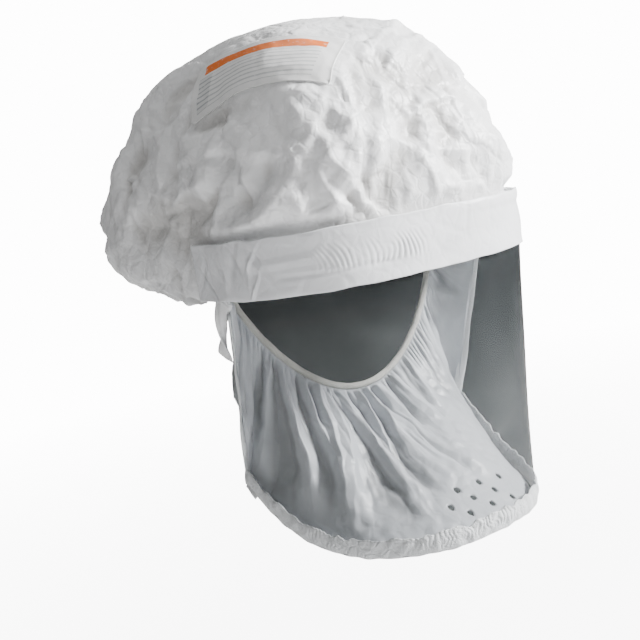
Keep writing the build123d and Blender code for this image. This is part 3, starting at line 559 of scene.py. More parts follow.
def facets(flat, chance, dice, count, tall):
    # a crumpled sheet: flat triangles between random points at random heights
    picked = flat[dice.choice(len(flat), count, replace=False, p=chance)]
    turn = np.linspace(0, 2 * math.pi, 24, endpoint=False)
    around = pairs(np.cos(turn), np.sin(turn)) * np.abs(flat).max() * 1.5
    picked = np.vstack([picked, around])
    heights = dice.uniform(-tall, tall, len(picked))
    corners, _, faces, origin, _, _ = delaunay_2d_cdt([Vector(spot) for spot in picked], [], [], 0, 1e-6)
    raised = [(corner.x, corner.y, heights[source[0]]) for corner, source in zip(corners, origin)]
    tree = BVHTree.FromPolygons(raised, faces)
    down = Vector((0, 0, -1))
    hits = (tree.ray_cast(Vector((x, y, 50)), down)[0] for x, y in flat.tolist())
    return np.array([0.0 if hit is None else hit.z for hit in hits])


def crumple(grid, seed):
    # facets of three sizes over the whole dome, then the listed big folds
    dice = np.random.default_rng(seed)
    points = grid.reshape(-1, 3)
    down, _ = gridLengths(grid)
    reach = down.max(axis=0) - down
    turn = np.arange(grid.shape[1]) * 2 * math.pi / grid.shape[1]
    flat = pairs(reach * np.cos(turn), reach * np.sin(turn)).reshape(-1, 2)
    step = np.linalg.norm(np.roll(grid, -1, axis=1) - grid, axis=2)
    step = step * np.linalg.norm(np.gradient(grid, axis=0), axis=2)
    chance = step.ravel() / step.sum()
    height = np.zeros(len(points))
    for number, (count, tall, warp) in enumerate(crown["facets"]):
        bent = flat + warp * np.stack([ripple(points, 45, seed + 2 * number + k) for k in range(2)], axis=1)
        height += facets(bent, chance, dice, count, tall)
    for _ in range(crown["creaseCount"]):
        turned = dice.uniform(0, math.pi)
        offset = bent - bent[dice.choice(len(bent), p=chance)]
        beside = np.abs(offset @ (math.sin(turned), -math.cos(turned)))
        near = beside < crown["creaseReach"]
        ahead = offset[near] @ (math.cos(turned), math.sin(turned)) / dice.uniform(9, 34)
        ridge = dice.uniform(-1, 1) * crown["creaseHeight"] * (1 - beside[near] / crown["creaseReach"])
        height[near] += ridge * np.exp(-(ahead**4))
    soft = points + 1.6 * np.stack([ripple(points, 24, seed + 20 + k) for k in range(3)], axis=1)
    for line, tall, reach in bigFolds:
        away, share = nearLine(soft, line)
        ends = np.minimum(1, np.minimum(share, 1 - share) * 5 + 0.35)
        ends = np.where(away > reach, 0, ends)
        height += tall * ends * np.maximum(0, 1 - away / reach) ** 1.15
    return height


axisOut = np.array([0, math.sin(math.radians(inlet["tilt"])), -math.cos(math.radians(inlet["tilt"]))])
seat = np.array(inlet["seat"], float)
base = crownBase()
baseNormals = facing(gridNormals(base, closed=True), crown["underRows"] + 60, 0, (0, -1, 0))
spots, ways = base.reshape(-1, 3), baseNormals.reshape(-1, 3)
height = crumple(base, 7) * crown["crumple"] + 1.6 * ripple(spots, 95, 41) + 0.22 * ripple(spots, 9, 51, 14)
fromAxis = np.linalg.norm((spots - seat) - np.outer((spots - seat) @ axisOut, axisOut), axis=1)
farAway = np.linalg.norm(spots - seat, axis=1) >= inlet["endReach"]
fromAxis = np.where(farAway, inlet["endReach"], fromAxis)  # the inlet's end of its axis only
labelMiddle = np.array([-59.7, -36.3, 130.6])
labelWays = np.array([[0.48, -0.876, 0.03], [0.545, 0.325, 0.77], [-0.672, -0.346, 0.654]])
labelWays[0] = unit(labelWays[0])
labelWays[2] = unit(labelWays[2] - labelWays[2] @ labelWays[0] * labelWays[0])
labelWays[1] = np.cross(labelWays[2], labelWays[0])
inLabel = (spots - labelMiddle) @ labelWays.T
underLabel = (1 - smooth(np.abs(inLabel[:, 0]), *crown["labelLong"])) * (inLabel[:, 2] > -40)
underLabel = underLabel * (1 - smooth(np.abs(inLabel[:, 1]), *crown["labelTall"]))
height *= 1 - (1 - crown["labelClear"]) * underLabel
height *= smooth(fromAxis, inlet["flat"], inlet["flat"] + inlet["ease"])
nearFoot = 1 - smooth(spots[:, 2], crown["bandTop"] - 2, crown["bandTop"] + 12)
behindBand = nearFoot * (1 - smooth(spots[:, 1], 6, 20))
height = height * (1 - 0.94 * behindBand) - 1.1 * behindBand
puff = smooth(spots[:, 2], 38, 46) * (1 - smooth(spots[:, 2], 50, 78)) * (1 - smooth(spots[:, 1], -40, 0))
height += 4.5 * puff * (0.55 + 0.45 * np.clip(ripple(spots, 40, 77), -1, 1))
rowNumber = np.repeat(np.arange(base.shape[0]), base.shape[1])
height *= smooth(rowNumber, -1, crown["underRows"]) * 0.85 + 0.15
height *= 1 - smooth(rowNumber, base.shape[0] - 34, base.shape[0] - 2)
height *= 1 - 0.6 * smooth(spots[:, 2], 142, 163)
crownPoints = spots + ways * height[:, None]
sink = smooth(crownPoints[:, 2], 112, 168)
crownPoints[:, 2] -= crown["settle"] * sink
slimmer = crown["slim"] * smooth(crownPoints[:, 0], 10, 90) * smooth(crownPoints[:, 2], 60, 120)
crownPoints[:, 0] *= 1 - slimmer
droop = (1 - smooth(crownPoints[:, 2], 6, 44)) * np.exp(-(((crownPoints[:, 1] - 8) / 52) ** 2))
droop *= smooth(crownPoints[:, 1], -2, 10)
crownPoints[:, 2] -= crown["droop"] * droop * smooth(rowNumber, 0, crown["underRows"])
gather = (1 - smooth(rowNumber, 2, crown["underRows"] + 8)) * smooth(spots[:, 1], 10, 40)
girth = np.tile(np.arange(base.shape[1]), base.shape[0])
pleat = np.sin(girth * 2 * math.pi * 61 / base.shape[1] + 1.5 * ripple(spots, 60, 88))
crownPoints[:, 2] += gather * (1.5 * pleat - 1.5)
beyond = (crownPoints - seat) @ axisOut
flush = np.where(fromAxis < inlet["flat"] + inlet["flush"], np.maximum(0, beyond + 0.5), 0)
crownPoints -= np.outer(flush, axisOut)
# painted shade: sunken places of the crumpled crown get a lower value here, which paints the darker colour
# into the fold valleys
foldShade = 0.5 + np.clip(height / 9, -0.5, 0.5)
openFaces = fromAxis < inlet["hole"]
crownGrid = crownPoints.reshape(base.shape)
crownCover = gridPiece("crownCover", "white_fabric", crownGrid, closed=True, cap=True,
                       foldShade=foldShade.reshape(base.shape[:2]), keep=lambda faces: ~openFaces[faces].all(axis=1))
thicken(crownCover, crown["wall"])
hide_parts("crown_cover")
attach(crownCover, "root")
print("crown made,", len(crownCover.data.vertices), "points")

band = {
    "halfWidth": 110.4, "depth": 85.4, "sideY": -26.8, "round": 2.55, "tail": 29, "height": 36,
    "wall": 1.6, "columns": 760, "rows": 46, "puckerPitch": 3.6, "puckerHeight": 0.55,
}


def frontOval(u, halfWidth, depth, sideY):
    turn = (u + 1) * math.pi / 2
    across = np.abs(np.cos(turn)) ** (2 / band["round"]) * halfWidth
    deep = np.abs(np.sin(turn)) ** (2 / band["round"]) * depth
    return pairs(np.where(np.cos(turn) > 0, -across, across), sideY - deep)


def spreadU(count):
    # places along the rounded front that are evenly spaced on the band
    u = np.linspace(-1, 1, 6001)
    line = frontOval(u, band["halfWidth"], band["depth"], band["sideY"])
    reach = reachAlong(line)
    return np.interp(np.linspace(0, reach[-1], count), reach, u)


def tent(value, middle, reach):
    return np.maximum(0, 1 - np.abs(value - middle) / reach)


frontU = spreadU(band["columns"])
tailCount = 60
front = frontOval(frontU, band["halfWidth"], band["depth"], band["sideY"])
tail = np.linspace(0, 1, tailCount, endpoint=False)[:, None]
leftTail = np.array([[-band["halfWidth"], band["sideY"] + band["tail"]]]) * (1 - tail) + front[:1] * tail
rightEnd = np.array([[band["halfWidth"], band["sideY"] + band["tail"]]])
rightTail = (rightEnd * (1 - tail) + front[-1:] * tail)[::-1]
bandLine = np.vstack([leftTail, front, rightTail])
leftU, rightU = np.linspace(-1.16, -1, tailCount, endpoint=False), np.linspace(1, 1.16, tailCount + 1)[1:]
bandU = np.concatenate([leftU, frontU, rightU])
along = reachAlong(bandLine)
rise = np.linspace(0, band["height"], band["rows"])
bandGrid = np.zeros((len(rise), len(bandLine), 3))
bandGrid[:, :, :2] = bandLine[None]
bandGrid[:, :, 2] = rise[:, None]
bandNormals = facing(gridNormals(bandGrid), 20, len(bandLine) // 2, (0, -1, 0))
ones = np.ones((len(rise), len(along)))
s, z, u = along[None, :] * ones, rise[:, None] * ones, bandU[None, :] * ones
dent = 0.35 * ripple(pairs(s, z * 1.6), 42, 3)
pucker = smooth(u, -0.56, -0.42) * (1 - smooth(u, -0.12, 0.02)) * smooth(z, 9, 13) * (1 - smooth(z, 20, 29))
swing = s + 0.16 * (z - 14) ** 2 * 0.2 + 1.2 * ripple(pairs(s, z), 26, 5)
uneven = 0.7 + 0.5 * ripple(pairs(s, z * 0.3), 20, 6)
puckers = np.abs(np.sin(swing * math.pi / band["puckerPitch"])) - 0.5
dent += band["puckerHeight"] * pucker * puckers * uneven
groove = 0.6 * tent(z + 0.6 * ripple(pairs(s, z), 30, 8), 11, 2.4)
dent -= groove * smooth(u, -0.72, -0.6) * (1 - smooth(u, -0.2, -0.1))
dent += 0.7 * tent(z - 0.03 * (s - 100), 21, 4) * smooth(u, -0.85, -0.75) * (1 - smooth(u, -0.5, -0.42))
dice = np.random.default_rng(12)
for side in (-1, 1):
    for _ in range(16):
        # slanted creases near each end, where the tie pulls
        middle, lean = dice.uniform(0.72, 1.12), dice.uniform(-0.9, 0.9)
        here = np.interp(side * middle, bandU, along)
        level = dice.uniform(4, 30)
        span = np.exp(-(((z - level) / dice.uniform(6, 14)) ** 2))
        tall = dice.choice([-1, 1]) * dice.uniform(0.45, 1.3)
        dent += tall * span * tent(s + lean * (z - level), here, dice.uniform(2, 5))
ledge = smooth(u, 0.02, 0.22) * (1 - smooth(u, 0.78, 0.95))
dent += ledge * (1.1 * smooth(z, 27, 33) + 0.5 * tent(z, 30, 3))
dent *= smooth(np.minimum(z, band["height"] - z), -1.0, 2.5)
edge = 0.35 * ripple(pairs(s, 0 * s), 24, 11)
bandGrid += bandNormals * dent[..., None]
lowEdge = 0.25 * (1 - smooth(z, 0, 6)) * ripple(pairs(s, 0 * s), 30, 14)
bandGrid[:, :, 2] += edge * smooth(z, 20, 36) - lowEdge
# painted shade: inward dents of the band get a lower value, which paints the darker colour into them
browBand = gridPiece("browBand", "band_fabric", bandGrid, foldShade=0.62 + np.clip(dent / 3, -0.4, 0.35))
thicken(browBand, band["wall"])
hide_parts("brow_band")
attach(browBand, "root")
print("band made")

visor = {
    "drop": 169, "tuck": 8, "topInset": 2.4, "footInset": 1.7, "wall": 0.7,
    "footHalfWidth": 93.6, "footDepth": 141.6, "footY": 24.4, "sideRise": 0.246, "risePower": 5.53,
    "columns": 260, "rows": 70,
}
hem = {"height": 12, "columns": 1100, "rows": 20, "wall": 0.9, "pitch": 3.4, "pucker": 0.75}


def visorPoint(u, drop, topInset, footInset):
    top = frontOval(u, band["halfWidth"] - topInset, band["depth"] - topInset, band["sideY"])
    foot = frontOval(u, visor["footHalfWidth"] - footInset, visor["footDepth"] - footInset, visor["footY"])
    flat = top + drop[..., None] * (foot - top)
    return np.concatenate([flat, -visor["drop"] * drop[..., None]], axis=-1)


def footDrop(u):
    return 1 - visor["sideRise"] * np.abs(u) ** visor["risePower"]


visorU = spreadU(visor["columns"])
share = np.linspace(0, 1, visor["rows"])[:, None]
highest = -visor["tuck"] / visor["drop"]
drops = highest + (footDrop(visorU)[None, :] - highest) * share
visorGrid = visorPoint(np.broadcast_to(visorU, drops.shape), drops, visor["topInset"], visor["footInset"])
wave = 0.5 * ripple(visorGrid, 130, 21) * (share * (1 - share) * 4)
visorNormals = facing(gridNormals(visorGrid), 30, len(visorU) // 2, (0, -1, 0))
visorGrid = visorGrid + visorNormals * (wave - 0.25)[..., None]
visorFilm = gridPiece("visorFilm", "clear_film", visorGrid)
thicken(visorFilm, visor["wall"])
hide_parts("visor")
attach(visorFilm, "root")

hemU = spreadU(hem["columns"])
hemLine = visorPoint(hemU, footDrop(hemU), 0.7, 0.0)
hemAlong = reachAlong(hemLine)
up = np.linspace(-0.14, 1, hem["rows"])[:, None]
flatS = pairs(hemAlong, 0 * hemAlong)
tight = (0.55 + 0.45 * np.clip(ripple(flatS, 55, 31), -1, 1)) * (1 - 0.9 * smooth(np.abs(hemU), 0.8, 0.93))
topEdge = hem["height"] + (0.9 * ripple(flatS, 9, 32) + 0.7 * ripple(flatS, 30, 33)) * 0.8
climb = np.maximum(up, 0) * topEdge[None, :]
drops = footDrop(hemU)[None, :] - climb / visor["drop"]
hemGrid = visorPoint(np.broadcast_to(hemU, drops.shape), drops, 0.7, 0.0)
hemNormals = gridNormals(hemGrid[3:])[0][None] * np.ones((hem["rows"], 1, 1))
hemNormals = facing(hemNormals, 5, len(hemU) // 2, (0, -1, 0))
hs = hemAlong[None, :] + 0 * up
lean = 1.4 * ripple(pairs(hs, climb * 2), 16, 34)
pleats = np.abs(np.sin((hs + lean) * math.pi / hem["pitch"])) - 0.55
puff = 1.0 * np.sin(np.clip(up, 0, 1) * math.pi * 0.92 + 0.25) - 0.55
dent = puff + hem["pucker"] * tight[None, :] * pleats * smooth(up, 0.05, 0.5)
dent = dent + 0.35 * ripple(pairs(hs, climb * 1.4), 11, 35)
dent = np.where(up < 0, -1.3 * np.abs(up) / 0.14, dent)
hemGrid = hemGrid + hemNormals * dent[..., None]
hemGrid[:, :, 2] += 0.35 * ripple(flatS, 14, 36)[None, :] * (1 - smooth(up, 0, 0.4))
# painted shade: inward dents of the hem get a lower value, which paints the darker colour into its pleat
# valleys
visorHem = gridPiece("visorHem", "hem_fabric", hemGrid, foldShade=0.55 + np.clip(dent / 4, -0.4, 0.4))
thicken(visorHem, hem["wall"])
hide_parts("visor_hem")
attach(visorHem, "root")
print("visor and hem made")

seal = {
    "topInset": 4.6, "footInset": 3.9, "corner": 0.62, "columns": 900, "rows": 110, "wall": 0.6,
    "halfWidth": 85.5, "sideY": 7.0, "sideZ": -3.1, "chinY": -5.1, "chinZ": -81.9, "pinch": 1.66,
    "radius": 2.4, "grow": 2.5, "gatherPitch": 4.3, "gatherHeight": 1.35, "folds": 44,
    "ventRows": [(15.5, -4), (24.5, -13), (33.5, 0)], "ventPitch": 19.5, "ventRadius": 2.2,
}

# creases, listed: across the cheek on the left, and a long facet towards the front of the foot
sealCreases = [  # points, height and reach
    ([(-4, -30, -100), (22, -62, -122), (34, -80, -140)], 2.6, 11),
    ([(-20, -28, -96), (-24, -70, -130), (-22, -100, -152)], -2.4, 9),
    ([(46, -20, -78), (66, -34, -96), (78, -44, -112)], 2.4, 8),
    ([(60, -6, -52), (80, -10, -58), (94, -12, -66)], 1.8, 6),
    ([(56, -10, -62), (74, -16, -70), (90, -22, -84)], -1.8, 6),
    ([(-60, -16, -70), (-74, -40, -104), (-76, -62, -128)], 2.4, 9),
    ([(-72, -6, -48), (-86, -20, -80), (-88, -30, -108)], -2.6, 8),
    ([(76, 2, -30), (88, 0, -36), (100, -4, -40)], 1.4, 5),
]


def sealEdge(s):
    u = np.clip(s / seal["corner"], -1, 1)
    side = np.maximum(0, (np.abs(s) - seal["corner"]) / (1 - seal["corner"]))
    drop = footDrop(u) * (1 - side) + 0.03 * side
    top = frontOval(u, band["halfWidth"] - seal["topInset"], band["depth"] - seal["topInset"], band["sideY"])
    inset = seal["footInset"]
    foot = frontOval(u, visor["footHalfWidth"] - inset, visor["footDepth"] - inset, visor["footY"])
    flat = top + drop[:, None] * (foot - top)
    return np.column_stack([flat, 1.5 - visor["drop"] * drop])


def elasticLine(s, grow):
    turn = (s + 1) * math.pi / 2
    dip = np.maximum(0, np.sin(turn)) ** seal["pinch"]
    x = -np.cos(turn) * (seal["halfWidth"] + grow)
    y = seal["sideY"] + (seal["chinY"] - seal["sideY"]) * dip
    return np.column_stack([x, y, seal["sideZ"] + (seal["chinZ"] - grow - seal["sideZ"]) * dip])


sealS = np.linspace(-1, 1, seal["columns"])
outerLine, innerLine = sealEdge(sealS), elasticLine(sealS, seal["grow"])
v = np.linspace(0, 1, seal["rows"])[:, None]  # 0 at the elastic, 1 at the visor's edge
sealGrid = innerLine[None] * (1 - v[..., None]) + outerLine[None] * v[..., None]
sealNormals = facing(gridNormals(sealGrid), 50, seal["columns"] // 2, (0, 0, 1))
elasticReach = reachAlong(innerLine)
depth = np.linalg.norm(outerLine - innerLine, axis=1)[None, :] * v  # distance from the elastic
e = elasticReach[None, :] + 0 * v
flatE = pairs(e, depth * 0.5)
bent = e + 2.2 * ripple(pairs(e, depth * 0.8), 55, 61) + 0.5 * ripple(flatE, 12, 62)
dent = np.zeros_like(e)
dice = np.random.default_rng(63)
foldAt = np.sort(dice.uniform(4, elasticReach[-1] - 4, seal["folds"]))
for number, middle in enumerate(foldAt):
    share = middle / elasticReach[-1]
    deeper = 1 - smooth(share, 0.5, 0.62)  # deeper folds on the wearer's right
    tall = dice.uniform(1.0, 2.6) * (0.8 + 1.3 * deeper) * (1 if number % 2 else -1)
    run = dice.uniform(26, 66) + 75 * deeper
    reach = (2.2 + 0.085 * depth * dice.uniform(0.6, 1.5)) * dice.uniform(0.8, 1.3)
    drift = dice.uniform(-0.13, 0.13) * depth
    away = np.abs(bent + drift - middle) / reach
    fade = smooth(depth, -2, 7) * (1 - smooth(depth, run * 0.55, run))
    dent += tall * fade * np.maximum(0, 1 - away) ** 1.1
phase = bent * math.pi / seal["gatherPitch"] + 1.2 * ripple(pairs(e, 0 * e), 30, 64)
gathers = np.abs(np.sin(phase)) - 0.5
dent += seal["gatherHeight"] * gathers * smooth(depth, -0.5, 3) * np.exp(-depth / 9) * 1.5
slack = 1.3 * ripple(sealGrid, 60, 65) * smooth(v, 0, 0.3)
dent += slack + 0.28 * ripple(sealGrid, 10, 66, 14) * smooth(v, 0, 0.12)
for line, tall, reach in sealCreases:
    away, _ = nearLine(sealGrid.reshape(-1, 3), line)
    dent += tall * np.maximum(0, 1 - away.reshape(e.shape) / reach) ** 1.1
vents = []
chin, lowFront = elasticLine(np.array([0.0]), seal["grow"])[0], sealEdge(np.array([0.0]))[0]
slope = unit(chin - lowFront)
ventNormal = np.cross([1.0, 0, 0], slope)
for row, start in seal["ventRows"]:
    for number in range(3):
        vents.append(lowFront + slope * row + np.array([start + number * seal["ventPitch"], 0, 0]))
vents = np.array(vents)
for spot in vents:
    lengthwise = ((sealGrid - spot) @ ventNormal)[..., None] * ventNormal
    away = np.linalg.norm((sealGrid - spot) - lengthwise, axis=2)
    dent *= 0.25 + 0.75 * smooth(away, 4, 16)
borders = smooth(v, 0, 0.03) * (1 - smooth(v, 0.955, 0.995)) * smooth(1 - np.abs(sealS)[None, :], 0, 0.03)
sealGrid = sealGrid + sealNormals * (dent * borders)[..., None]
holeFaces = np.zeros(seal["rows"] * seal["columns"], bool)
flatSeal = sealGrid.reshape(-1, 3)
for spot in vents:
    offset = flatSeal - spot
    offset = offset - np.outer(offset @ ventNormal, ventNormal)
    away = np.linalg.norm(offset, axis=1)
    near = (away < seal["ventRadius"] * 1.5) & (np.linalg.norm(flatSeal - spot, axis=1) < 12)
    inside = near & (away < seal["ventRadius"] - 0.45)
    holeFaces |= inside
    rim = near & ~inside & (away < seal["ventRadius"] + 0.6)
    flatSeal[rim] += offset[rim] * (seal["ventRadius"] / away[rim] - 1)[:, None]
# painted shade: lower places of the seal's folds get a lower value, which paints the darker colour into them
foldShade = 0.58 + np.clip(dent / 7, -0.45, 0.42)
faceSeal = gridPiece("faceSeal", "seal_fabric", flatSeal.reshape(sealGrid.shape), foldShade=foldShade,
                     keep=lambda faces: ~holeFaces[faces].any(axis=1))
thicken(faceSeal, seal["wall"], 0)
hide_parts("face_seal")
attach(faceSeal, "root")

elasticS = np.linspace(-1, 1, 620)
elasticPath = elasticLine(elasticS, 0)
elasticRun = reachAlong(elasticPath)
flatRun = pairs(elasticRun, 0 * elasticRun)
thickness = 0.86 + 0.07 * np.abs(np.sin(elasticRun * math.pi / 4.3)) + 0.05 * ripple(flatRun, 14, 71)
growth = pairs(thickness * 0.92, thickness * 1.06)
section = roundSection(seal["radius"], 18)
sealElastic = sweepPiece("sealElastic", "elastic", elasticPath, (0, 1, 0.4), section, growth=growth)
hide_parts("face_seal_elastic")
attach(sealElastic, "root")

for side, sideName in ((-1, "Right"), (1, "Left")):
    at = np.linspace(seal["corner"] - 0.02, 0.985, 420)
    path = sealEdge(side * at)
    inward = unit(elasticLine(side * at, seal["grow"]) - path)
    path = path - inward * (1.2 if side < 0 else -1.6)
    path[:, 0] += side * 1.4
    run = reachAlong(path)
    flatRun = pairs(run, 0 * run)
    path[:, 0] += side * 0.6 * ripple(flatRun, 34, 73)
    swell = 1 + 0.05 * ripple(flatRun, 22, 75)
    halfWidth = 4.2 if side < 0 else 3.4
    section = roundSection(1.0, 24) * np.array([halfWidth, 0.8])
    piping = sweepPiece("sealBinding" + sideName, "hem_fabric", path, inward, section,
                        growth=pairs(swell, swell), swirl=0.08 * ripple(flatRun, 45, 76))
    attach(piping, "root")
print("seal made")

tie = {
    "twist": 3.1, "steps": 120, "top": (107.0, -23.0, 0.8), "low": (99.0, 4.5, -38.0),
    "bow": 1.6, "halfWide": 6.0, "halfThick": 2.3,
}
for side, sideName, node in ((-1, "Right", "side_tie_right"), (1, "Left", "side_tie_left")):
    share = np.linspace(0, 1, tie["steps"])
    top, low = (np.array(tie[key]) * (side, 1, 1) for key in ("top", "low"))
    path = top * (1 - share[:, None]) + low * share[:, None]
    path[:, 0] += side * tie["bow"] * np.sin(share * math.pi)
    path[:, 1] += 0.9 * np.sin(share * 2 * math.pi)
    turn = np.linspace(0, 2 * math.pi, 44, endpoint=False)
    lobes = 1 + 0.16 * np.cos(3 * turn) + 0.1 * np.cos(5 * turn + 1)
    section = pairs(np.cos(turn) * tie["halfWide"] * lobes, np.sin(turn) * tie["halfThick"] * lobes)
    wide = 1.25 - 0.2 * share - 0.62 * np.sin(share * math.pi) ** 1.4
    swirl = tie["twist"] * smooth(share, 0.1, 0.95)
    tiePiece = sweepPiece("sideTie" + sideName, "white_fabric", path, (0, 1, 0), section,
                          growth=pairs(wide, 1.0 - 0.25 * share), swirl=side * swirl)
    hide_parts(node)
    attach(tiePiece, "root")
print("ties made")

label = {"length": 102, "height": 44, "corner": 3.2, "columns": 200, "rows": 90, "lift": 0.75, "wall": 0.5}
faces = gridFaces(base.shape[0], base.shape[1], True)
tree = BVHTree.FromPolygons((crownPoints * 0.001).tolist(), faces.tolist())
a = np.linspace(-label["length"] / 2, label["length"] / 2, label["columns"])
b = np.linspace(-label["height"] / 2, label["height"] / 2, label["rows"])
depthHere = np.zeros((len(b), len(a)))
for row, upward in enumerate(b):
    for column, sideways in enumerate(a):
        start = (labelMiddle + labelWays[0] * sideways + labelWays[1] * upward + labelWays[2] * 60) * 0.001
        _, _, _, far = tree.ray_cast(Vector(start), Vector(-labelWays[2]), 0.12)
        depthHere[row, column] = 60 - far * 1000 if far is not None else np.nan
depthHere = np.where(np.isnan(depthHere), np.nanmean(depthHere), depthHere)
eased = relax(depthHere, 26)
eased = np.maximum(eased + label["lift"] * 0.4, depthHere + label["lift"] * 0.8)
eased = relax(eased, 4)
eased = np.maximum(eased, depthHere + label["lift"] * 0.6)
# the corners are rounded by drawing the grid's edge points inwards
gx, gy = np.meshgrid(a, b)
limit = label["corner"]
overX, overY = np.abs(gx) - (label["length"] / 2 - limit), np.abs(gy) - (label["height"] / 2 - limit)
inCorner = (overX > 0) & (overY > 0)
reachOut = np.maximum(np.hypot(np.maximum(overX, 0), np.maximum(overY, 0)), 1e-6)
squeeze = np.where(inCorner, np.maximum(overX, overY) / reachOut, 1)
gx = np.where(inCorner, np.sign(gx) * (label["length"] / 2 - limit + overX * squeeze), gx)
gy = np.where(inCorner, np.sign(gy) * (label["height"] / 2 - limit + overY * squeeze), gy)
labelGrid = labelMiddle + gx[..., None] * labelWays[0] + gy[..., None] * labelWays[1]
labelGrid = labelGrid + (eased + 0.1)[..., None] * labelWays[2]
labelPatch = gridPiece("labelPatch", "label", labelGrid)
thicken(labelPatch, label["wall"], 0)
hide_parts("label_patch")
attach(labelPatch, "root")
print("label made")

harness = {
    "headY": 5.0, "low": 20, "archZ": 58, "sideHalf": 83.2, "sideRise": 60,
    "longHalf": 103.3, "longRise": 62.1, "rearLow": 47.2,
    "width": 18, "wall": 1.5, "middle": 30, "strapHeight": 16,
}


def archPath(half, rise, low, rearLow, wall):
    # up one leg, over a half ellipse and down the other, as (across, height)
    turn = np.linspace(math.pi, 0, 160)
    over = pairs(np.cos(turn) * (half + wall / 2), harness["archZ"] + np.sin(turn) * (rise + wall / 2))
    legs = []
    for end, sign in ((low, -1), (rearLow, 1)):
        heights = np.linspace(end, harness["archZ"], 24, endpoint=False)
        legs.append(pairs(np.full(len(heights), sign * (half + wall / 2)), heights))
    return np.vstack([legs[0], over, legs[1][::-1]])


strapSection = flatSection(harness["width"], harness["wall"], 0.35, 0.12)
low, wall = harness["low"], harness["wall"]
path = archPath(harness["sideHalf"], harness["sideRise"], low, low, wall)
path = np.column_stack([path[:, 0], np.full(len(path), harness["headY"]), path[:, 1]])
strapSide = sweepPiece("crownStrapSide", "strap_web", path, (0, 1, 0), strapSection)
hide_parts("crown_strap_side")
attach(strapSide, "root")
path = archPath(harness["longHalf"], harness["longRise"], low, harness["rearLow"], wall)
path = np.column_stack([np.zeros(len(path)), path[:, 0] + harness["headY"], path[:, 1]])
strapLong = sweepPiece("crownStrapLong", "strap_web", path, (1, 0, 0), strapSection)
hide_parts("crown_strap_long")
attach(strapLong, "root")

# the brow pad is a crowned foam strip along the front of the headband
pad = {
    "arc": (212, 328), "halfAcross": 77.3, "halfDeep": 99.3, "rear": -46, "halfHigh": 13.8, "halfThick": 1.6,
    "steps": 200, "quilt": 25,
}
turn = np.linspace(math.radians(pad["arc"][0]), math.radians(pad["arc"][1]), pad["steps"])
padY = np.sin(turn) * pad["halfDeep"] + harness["headY"]
padPath = np.column_stack([np.cos(turn) * pad["halfAcross"], padY, np.full(len(turn), harness["middle"])])
keep = padPath[:, 1] < pad["rear"]
padPath = resample(padPath[keep], pad["steps"])
loop = np.linspace(0, 2 * math.pi, 40, endpoint=False)
crowned = squarish(loop, pad["halfHigh"], pad["halfThick"], 0.35, 0.8)
fromEnd = np.minimum(np.linspace(0, 1, pad["steps"]), np.linspace(1, 0, pad["steps"]))
ends = np.clip(np.minimum(1, fromEnd * 26) ** 0.5, 0.25, 1)
half = pad["quilt"] / 2
quilt = 1 - 0.13 * np.exp(-((np.abs(np.arange(pad["steps"]) % pad["quilt"] - half) - half) ** 2) / 2.5)
browPad = sweepPiece("browPad", "foam", padPath, (0, 0, 1), crowned, growth=pairs(ends, ends * quilt))
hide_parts("brow_pad")
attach(browPad, "root")


def cushion(name, slotName, halfWide, halfHigh, corner, thick, middle, wideWay, highWay):
    # a rounded pad, fuller in the middle than at its edge, with a pressed line near the edge
    wideWay, highWay = np.array(wideWay, float), np.array(highWay, float)
    outWay = np.cross(wideWay, highWay)
    turn = np.linspace(0, 2 * math.pi, 120, endpoint=False)
    power = 2 + 6 * (1 - corner / halfHigh)
    rimLine = squarish(turn, halfWide, halfHigh, 2 / power, 2 / power)
    shares = np.concatenate([np.linspace(0.02, 0.93, 26), [0.965, 0.99, 1.0]])
    lift = 0.5 * (1 - shares**8) ** 0.5 * (0.82 + 0.18 * (1 - shares**2))
    lift = lift - 0.07 * np.exp(-(((shares - 0.86) / 0.03) ** 2))
    rings = [(share, h) for share, h in zip(shares, lift)]
    rings += [(share, -h) for share, h in zip(shares[::-1][1:], lift[::-1][1:])]
    flatRings = [middle + np.outer(rimLine[:, 0] * share, wideWay) + np.outer(rimLine[:, 1] * share, highWay)
                 for share, _ in rings]
    grid = np.array([ring + outWay * thick * h for ring, (_, h) in zip(flatRings, rings)])
    points = np.vstack([grid.reshape(-1, 3), grid[0].mean(axis=0), grid[-1].mean(axis=0)])
    faces = gridFaces(len(rings), len(turn), True).tolist()
    count, last = len(rings) * len(turn), (len(rings) - 1) * len(turn)
    faces += [[(k + 1) % len(turn), k, count] for k in range(len(turn))]
    faces += [[last + k, last + (k + 1) % len(turn), count + 1] for k in range(len(turn))]
    return buildMesh(name, slotName, points, faces, {"foldShade": np.full(len(points), 0.6)})


napePad = cushion("napePad", "foam", 31, 17, 7, 3.0, np.array([0, 104.7, 30]), (1, 0, 0), (0, 0, 1))
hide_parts("nape_pad")
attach(napePad, "root")

# side straps run from the headband to the racks, curving in towards them
rack = {"y": 103.3 + 3.0 + 1.8 + 0.25, "wall": 2.0, "lap": 0.4}
for side, sideName in ((-1, "right"), (1, "left")):
    endY = rack["y"] + rack["wall"] + rack["lap"]
    knots = np.array([(81.3, 9), (79.7, 51), (69.5, 90), (59, endY - 3), (50.2, endY), (41.7, endY)], float)
    knots[:, 0] += 0.75
    knots[2:, 1] += [0.45, 0.68, 0.75, 0.75]
    for _ in range(5):  # corner cutting keeps the ends and rounds the rest
        cut = [knots[0]]
        for first, second in zip(knots[:-1], knots[1:]):
            cut += [first * 0.75 + second * 0.25, first * 0.25 + second * 0.75]
        knots = np.array(cut + [knots[-1]])
    line = resample(knots, 150)
    path = np.column_stack([line[:, 0] * side, line[:, 1], np.full(len(line), harness["middle"])])
    section = flatSection(harness["strapHeight"], harness["wall"] - 0.1, 0.35, 0.0, 10)
    strap = sweepPiece("sideStrap" + sideName.title(), "harness_plastic", path, (0, 0, 1), section)
    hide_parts("side_strap_" + sideName)
    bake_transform(strap)

